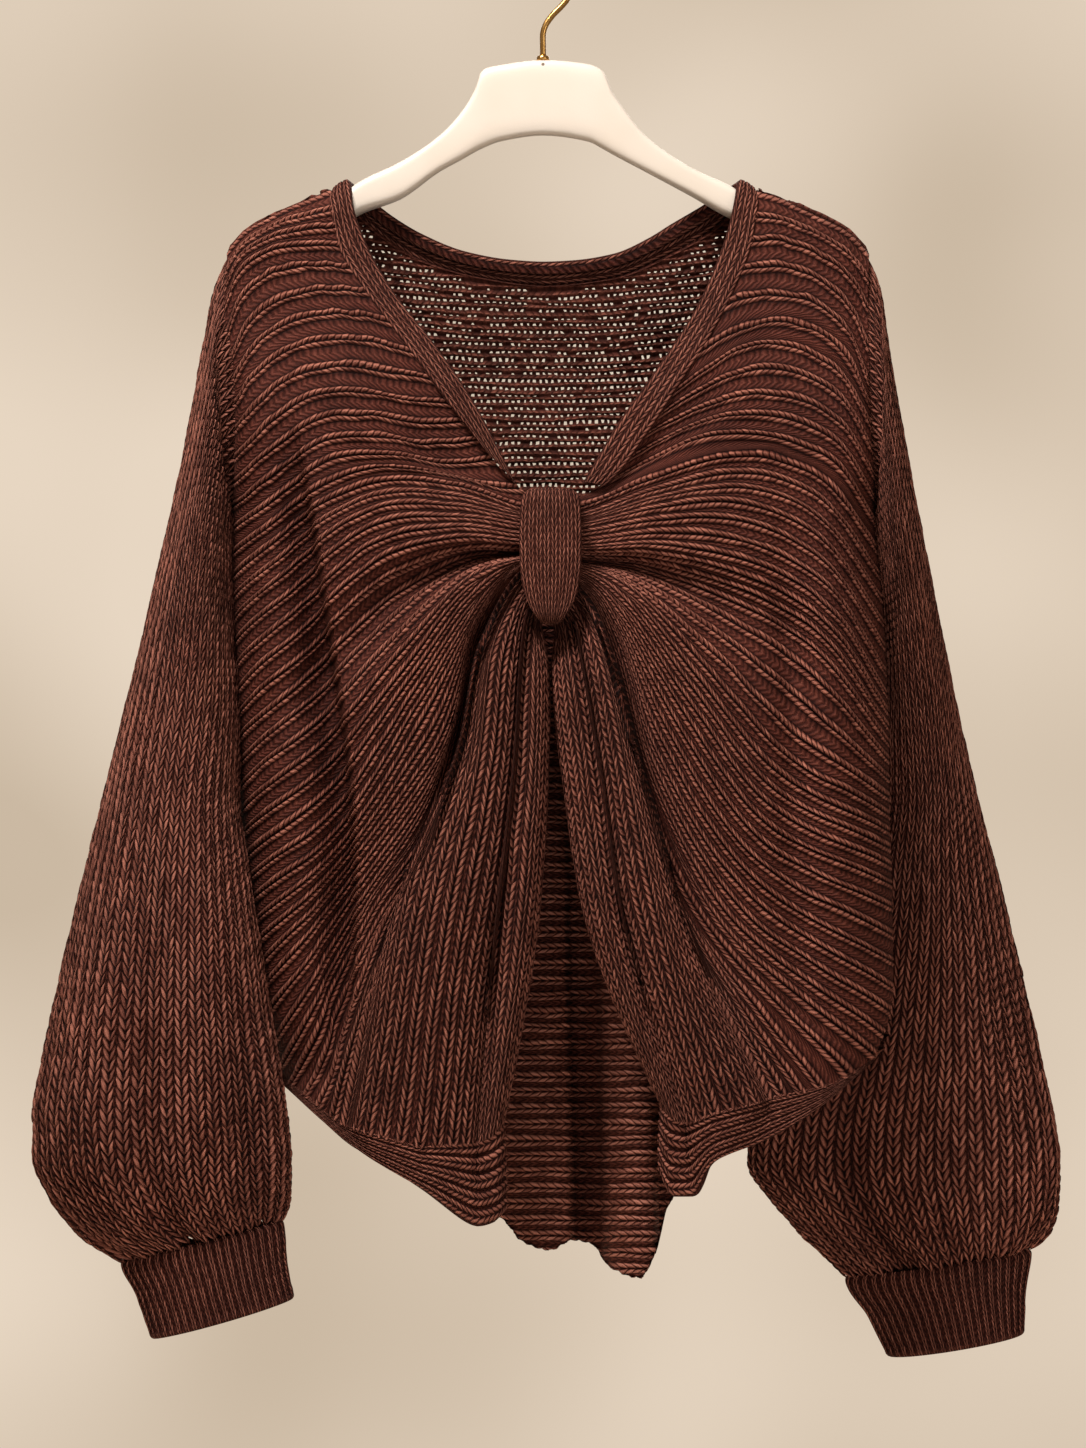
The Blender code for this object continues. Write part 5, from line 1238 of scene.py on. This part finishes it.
def knit_material(name, dark, middle, light, slope=0.85, kind="chain", bump=1.0, sheen=0.02, leg_half=0.46, slant=0.22, recess_tone=0.62, gap=0.06):
    """A knit over the coordinates of a wale and its recess: plump legs, no two quite alike, with painted shade in the
    gaps between them and a painted highlight on their tops.
    """
    material, tree, shader, f = new_material(name, 0.62)
    uv = f.node("ShaderNodeUVMap", uv_map="knit").outputs[0]
    where = f.node("ShaderNodeTexCoord").outputs["Object"]
    parts = f.node("ShaderNodeSeparateXYZ")
    tree.links.new(uv, parts.inputs[0])
    U, V = parts.outputs[0], parts.outputs[1]
    # loose hairs and the unevenness of the yarn
    hair = f.noise(where, 1500.0, 3.0, 0.6)
    lumps = f.noise(where, 260.0, 2.0, 0.5)
    broad = f.noise(where, 22.0, 2.0, 0.5)

    def chance(a, b):
        key = f.node("ShaderNodeCombineXYZ")
        f.feed(key.inputs[0], a)
        f.feed(key.inputs[1], b)
        made = f.node("ShaderNodeTexWhiteNoise", noise_dimensions="2D")
        tree.links.new(key.outputs[0], made.inputs["Vector"])
        return made.outputs["Value"]

    if kind == "purl":
        # short arched loops in staggered rows
        row = f.do("FLOOR", V)
        u0 = f.add(U, f.mul(row, 0.5))
        u = f.sub(f.mul(f.do("FRACT", f.add(u0, f.mul(f.sub(lumps, 0.5), 0.3))), 2.0), 1.0)
        v = f.do("FRACT", f.add(V, f.mul(f.sub(lumps, 0.5), 0.25)))
        other = chance(f.do("FLOOR", u0), row)
        arch = f.sin(f.mul(v, math.pi))
        bead = f.root(f.sub(1.0, f.mul(f.mul(u, u), 0.95)))
        height = f.mul(f.mul(f.sub(1.12, f.mul(arch, 0.75)), f.add(0.35, f.mul(bead, 0.65))), f.add(0.70, f.mul(other, 0.4)))
    else:
        half_u = f.mul(U, 0.5)
        local = f.mul(f.do("FRACT", half_u), 2.0)                      # 0 to 1 over the wale, 1 to 2 over the recess
        on_wale = f.do("LESS_THAN", local, 1.0)
        wobble = f.mul(f.sub(lumps, 0.5), 0.20)
        m = f.add(f.do("ABSOLUTE", f.sub(f.mul(local, 2.0), 1.0)), wobble)
        turn = f.add(V, f.mul(m, slope))
        s = f.do("FRACT", turn)
        hand = f.do("GREATER_THAN", local, 0.5)
        other = chance(f.add(f.mul(f.do("FLOOR", half_u), 2.0), hand), f.do("FLOOR", turn))
        centred = f.sub(f.mul(s, 2.0), 1.0)
        middle_m = f.add(f.sub(0.50, f.mul(centred, slant)), f.mul(f.sub(other, 0.5), 0.10))
        off = f.do("DIVIDE", f.sub(m, middle_m), leg_half)
        across = f.root(f.sub(1.0, f.mul(off, off)))
        c2 = f.mul(centred, centred)
        along = f.root(f.sub(1.0, f.mul(c2, c2)))
        leg = f.mul(f.mul(across, along), f.add(0.80, f.mul(other, 0.30)))
        twist = f.mul(f.sin(f.add(f.mul(s, 2 * math.pi * 2.0), f.mul(off, 3.4))), 0.07)
        leg = f.add(leg, f.mul(twist, across))
        # the recess: little bars that zigzag from wale to wale
        r = f.sub(local, 1.0)
        zig = f.do("ABSOLUTE", f.sub(f.mul(r, 2.0), 1.0))
        bar = f.add(0.5, f.mul(f.sin(f.mul(f.add(f.add(V, f.mul(f.sub(lumps, 0.5), 0.9)), f.mul(zig, 0.75)), 2 * math.pi)), 0.5))
        rim = f.root(f.mul(f.mul(r, f.sub(1.0, r)), 4.0))
        recess = f.mul(f.mul(f.add(0.35, f.mul(bar, 0.65)), rim), recess_tone)
        height = f.blend(on_wale, recess, leg)
    grain = f.add(f.mul(f.sub(hair, 0.5), 0.30), f.mul(f.sub(lumps, 0.5), 0.16))
    total = f.add(height, grain)
    made = f.node("ShaderNodeBump")
    made.inputs["Strength"].default_value = 1.0
    made.inputs["Distance"].default_value = 0.0013 * bump
    tree.links.new(total, made.inputs["Height"])
    tree.links.new(made.outputs[0], shader.inputs["Normal"])
    # painted shade and highlight: the colour runs from the dark colour in the low gaps, through the middle colour, to
    # the light colour on the legs' tops
    low = f.clip(f.mul(f.sub(total, gap), 2.3))
    high = f.clip(f.mul(f.sub(total, 0.55), 2.0))
    colour = f.mix(high, f.mix(low, dark, middle), light)
    tint = f.mix(f.clip(f.mul(f.sub(broad, 0.35), 2.4)), (0.84, 0.82, 0.82, 1), (1.1, 1.06, 1.04, 1))
    fleck = f.mix(f.clip(f.mul(f.sub(hair, 0.5), 3.0)), (0.9, 0.9, 0.9, 1), (1.28, 1.26, 1.26, 1))
    single = f.mix(other, (0.84, 0.82, 0.82, 1), (1.16, 1.16, 1.16, 1))
    # painted shade: the painted shade attribute multiplies the colour down toward a dark red-brown in grooves, gaps and
    # folds
    painted_shade_at = f.node("ShaderNodeAttribute", attribute_name="painted_shade").outputs["Fac"]
    sunk_shade = f.mix(f.clip(painted_shade_at), (1, 1, 1, 1), (0.30, 0.19, 0.16, 1))
    for factor in (tint, fleck, single, sunk_shade):
        by = f.node("ShaderNodeMix", data_type="RGBA", blend_type="MULTIPLY")
        by.inputs[0].default_value = 1.0
        tree.links.new(colour, by.inputs[6])
        tree.links.new(factor, by.inputs[7])
        colour = by.outputs[2]
    tree.links.new(colour, shader.inputs["Base Color"])
    shader.inputs["Roughness"].default_value = 0.64
    shader.inputs["Sheen Weight"].default_value = sheen
    shader.inputs["Sheen Roughness"].default_value = 0.5
    shader.inputs["Sheen Tint"].default_value = (0.85, 0.45, 0.36, 1)
    shader.inputs["Specular IOR Level"].default_value = 0.06
    return material


def srgb(r, g, b, gain=1.0):
    def one(c):
        c = c / 255
        return (c / 12.92 if c <= 0.04045 else ((c + 0.055) / 1.055) ** 2.4) * gain
    return (one(r), one(g), one(b), 1.0)


def plain_material(name, colour, other, roughness, metallic=0.0, coat=0.0, scale=90.0, bump=0.00008, stretch=None, dot=None):
    """A smooth material with a little unevenness. dot is a small dark hole: its place across and up, and its radius."""
    material, tree, shader, f = new_material(name, roughness)
    where = f.node("ShaderNodeTexCoord").outputs["Object"]
    place = where
    if stretch:
        way = f.node("ShaderNodeMapping")
        tree.links.new(where, way.inputs["Vector"])
        way.inputs["Scale"].default_value = stretch
        where = way.outputs[0]
    broad = f.noise(where, scale * 0.25, 2.0)
    fine = f.noise(where, scale * 9, 3.0, 0.6)
    painted = f.mix(f.clip(f.mul(f.sub(broad, 0.3), 2.2)), colour, other)
    if dot:
        at = f.node("ShaderNodeSeparateXYZ")
        tree.links.new(place, at.inputs[0])
        across, up = f.sub(at.outputs[0], dot[0]), f.sub(at.outputs[2], dot[1])
        near = f.do("LESS_THAN", f.root(f.add(f.mul(across, across), f.mul(up, up))), dot[2])
        painted = f.mix(near, painted, srgb(96, 74, 56))
    tree.links.new(painted, shader.inputs["Base Color"])
    made = f.node("ShaderNodeBump")
    made.inputs["Strength"].default_value = 0.6
    made.inputs["Distance"].default_value = bump
    tree.links.new(fine, made.inputs["Height"])
    tree.links.new(made.outputs[0], shader.inputs["Normal"])
    shader.inputs["Metallic"].default_value = metallic
    if coat:
        shader.inputs["Coat Weight"].default_value = coat
        shader.inputs["Coat Roughness"].default_value = 0.15
    return material


# painted shade and highlight: the dark colour stands for the shade in the knit's gaps and the light one for a highlight
# on the legs' tops; the middle one is the yarn's own colour
CREVICE_SHADE, MIDDLE, LEG_HIGHLIGHT = srgb(30, 9, 6), srgb(88, 45, 36), srgb(158, 102, 86)
MATERIAL = {
    "rib": knit_material("knit_rib", CREVICE_SHADE, MIDDLE, LEG_HIGHLIGHT, bump=1.1, slant=0.12, leg_half=0.40),
    "fold": knit_material("knit_fold", CREVICE_SHADE, MIDDLE, LEG_HIGHLIGHT, bump=2.0, slant=0.20, leg_half=0.40, gap=0.11),
    "stockinette": knit_material("knit_stockinette", CREVICE_SHADE, MIDDLE, LEG_HIGHLIGHT, bump=1.4, slant=0.26, leg_half=0.47, gap=0.10),
    "band": knit_material("knit_band", CREVICE_SHADE, MIDDLE, LEG_HIGHLIGHT, bump=1.5, slant=0.2, leg_half=0.40, gap=0.12),
    # painted shade: the open knit's colours are darker copies of the yarn's, standing in for the shade inside the back
    "purl": knit_material("knit_purl", srgb(28, 10, 7), srgb(72, 36, 28), srgb(122, 72, 59), kind="purl", bump=1.4),
    # painted light: the back's ribs take lighter copies of the yarn's middle and light colours, standing in for light
    # on the back's lower part
    "inside": knit_material("knit_rib_painted_light", CREVICE_SHADE, srgb(110, 60, 48), srgb(184, 122, 104), bump=1.6, slant=0.12, leg_half=0.42),
    "hanger": plain_material("hanger_satin_white", srgb(213, 201, 189), srgb(208, 195, 181), 0.36, coat=0.1, dot=(0.0, (CREST_ROW - 66.0) * GRID / 1000, 0.0011)),
    "brass": plain_material("hook_brass", srgb(206, 160, 96), srgb(190, 142, 78), 0.24, metallic=1.0, scale=400, bump=0.00002),
}

# ---------------------------------------------------------------- the pieces
BACK_COLUMNS_FIRST, BACK_COLUMNS_LAST = 227.0, 869.0

front_l, fine_l, outer_l = front_knit("front_left", LEFT_RIBS, 11)
front_r, fine_r, outer_r = front_knit("front_right", RIGHT_RIBS, 23)
back_piece = back_knit("back")
sleeve_r = sleeve_knit("sleeve_right", RIGHT_SLEEVE, "right", -1, 31)
sleeve_l = sleeve_knit("sleeve_left", LEFT_SLEEVE, "left", 1, 37)
cuff_r = cuff_knit("cuff_right", RIGHT_CUFF, 43)
cuff_l = cuff_knit("cuff_left", LEFT_CUFF, 47)
neck = neckband_lines()
neck_seam, neck_free = even_line(neck, 460)
neck_piece = band_knit("neckband", neck_seam, neck_free, 3, 1.6, 0.9, stitch=5.2, toward_=(0, -1, 0), seed=51, groove_shade=0.25)
hem_ls, hem_lf = hem_lines(fine_l, outer_l, LEFT_HEM, 110)
hem_l = band_knit("hem_front_left", hem_ls, hem_lf, 5, 1.0, 1.9, stitch=3.6, seed=53)
hem_rs, hem_rf = hem_lines(fine_r, outer_r, RIGHT_HEM, 110)
hem_r = band_knit("hem_front_right", hem_rs, hem_rf, 5, 1.0, 1.9, stitch=3.6, seed=57)
loop_piece = loop_knit("front_loop")
hanger_piece = hanger_knit()

ferrule_foot, ferrule_top = (CREST_ROW - 61) * GRID + 0.35, (CREST_ROW - 56) * GRID + 0.2
levels = [(0, ferrule_foot), (0, ferrule_foot + 0.5), (0, (ferrule_foot + ferrule_top) / 2), (0, ferrule_top - 0.6), (0, ferrule_top)]
solid_rings("hanger_ferrule_shape", round_rings(levels, [FERRULE_RADIUS, FERRULE_RADIUS, FERRULE_RADIUS * 0.98, FERRULE_RADIUS * 0.92, FERRULE_RADIUS * 0.74], 40), MATERIAL["brass"], "hanger_ferrule")
path = hook_path()
run = np.concatenate([[0], np.cumsum(np.linalg.norm(np.diff(path, axis=0), axis=1))])
path = through(run, path, np.linspace(0, run[-1], 150))
ends = np.minimum(1, np.sqrt(np.clip(1 - (1 - np.clip(np.linspace(0, run[-1], 150)[::-1] / WIRE_RADIUS, 0, 1)) ** 2, 0.02, 1)))
solid_rings("hanger_hook_shape", round_rings(path, WIRE_RADIUS * ends, 24), MATERIAL["brass"], "hanger_hook")

# ---------------------------------------------------------------- floor, light and camera
def floor_mesh():
    size, z = 1.3, -1.30
    n = 24
    x, y = np.meshgrid(np.linspace(-size, size, n), np.linspace(-size, size, n))
    points = np.stack([x, y, np.full_like(x, z)], -1)
    uv = np.stack([x, y], -1)
    return grid_mesh("floor", points, uv, plain_material("floor_paint", srgb(222, 206, 187), srgb(217, 200, 180), 0.8, scale=14, bump=0.0002), toward=(0, 0, 1))


floor = floor_mesh()

world = bpy.data.worlds.new("soft_room")
bpy.context.scene.world = world
world.use_nodes = True
f = Sums(world.node_tree)
where = f.node("ShaderNodeTexCoord").outputs["Generated"]
cloud = f.clip(f.mul(f.sub(f.noise(where, 7.0, 1.0, 0.4), 0.34), 3.0))
world.node_tree.links.new(f.mix(cloud, srgb(203, 185, 163), srgb(231, 214, 194)), world.node_tree.nodes["Background"].inputs["Color"])
# the wall that is seen stays bright, and the light it sheds on the cloth is softer than the lamps'
seen = f.node("ShaderNodeLightPath").outputs["Is Camera Ray"]
world.node_tree.links.new(f.add(0.36, f.mul(seen, 0.64)), world.node_tree.nodes["Background"].inputs["Strength"])


def area_light(name, place, aim, size, power, colour=(1, 0.97, 0.93)):
    light = bpy.data.lights.new(name, "AREA")
    light.shape = "RECTANGLE"
    light.size, light.size_y = size
    light.energy = power
    light.color = colour
    obj = bpy.data.objects.new(name, light)
    obj.location = place
    way = np.array(aim, float) - np.array(place, float)
    from mathutils import Vector
    obj.rotation_mode = "QUATERNION"
    obj.rotation_quaternion = Vector(way).to_track_quat("-Z", "Y")
    bpy.context.scene.collection.objects.link(obj)
    return obj


area_light("key", (-0.6, -1.0, 1.3), (0, 0, -0.5), (0.6, 0.5), 68)
area_light("fill", (1.5, -1.9, 0.3), (0, 0, -0.5), (0.8, 1.2), 9)
area_light("low", (0.25, -1.9, -1.1), (0.05, 0, -0.72), (0.7, 0.5), 7)
area_light("behind", (0.3, 2.2, 0.6), (0, 0, -0.5), (1.6, 1.2), 16)
bpy.context.scene.view_settings.view_transform = "Standard"

camera = bpy.data.cameras.new("camera")
camera.sensor_fit = "AUTO"
camera.sensor_width = 36
eye = bpy.data.objects.new("camera", camera)
bpy.context.scene.collection.objects.link(eye)
eye_z = (CREST_ROW - EYE_ROW) * GRID / 1000
eye.location = (0, -VIEW / 1000, eye_z)
eye.rotation_euler = (math.pi / 2, 0, 0)
camera.lens = 36 / (1448 * GRID / VIEW)
camera.clip_start, camera.clip_end = 0.1, 30
bpy.context.scene.camera = eye
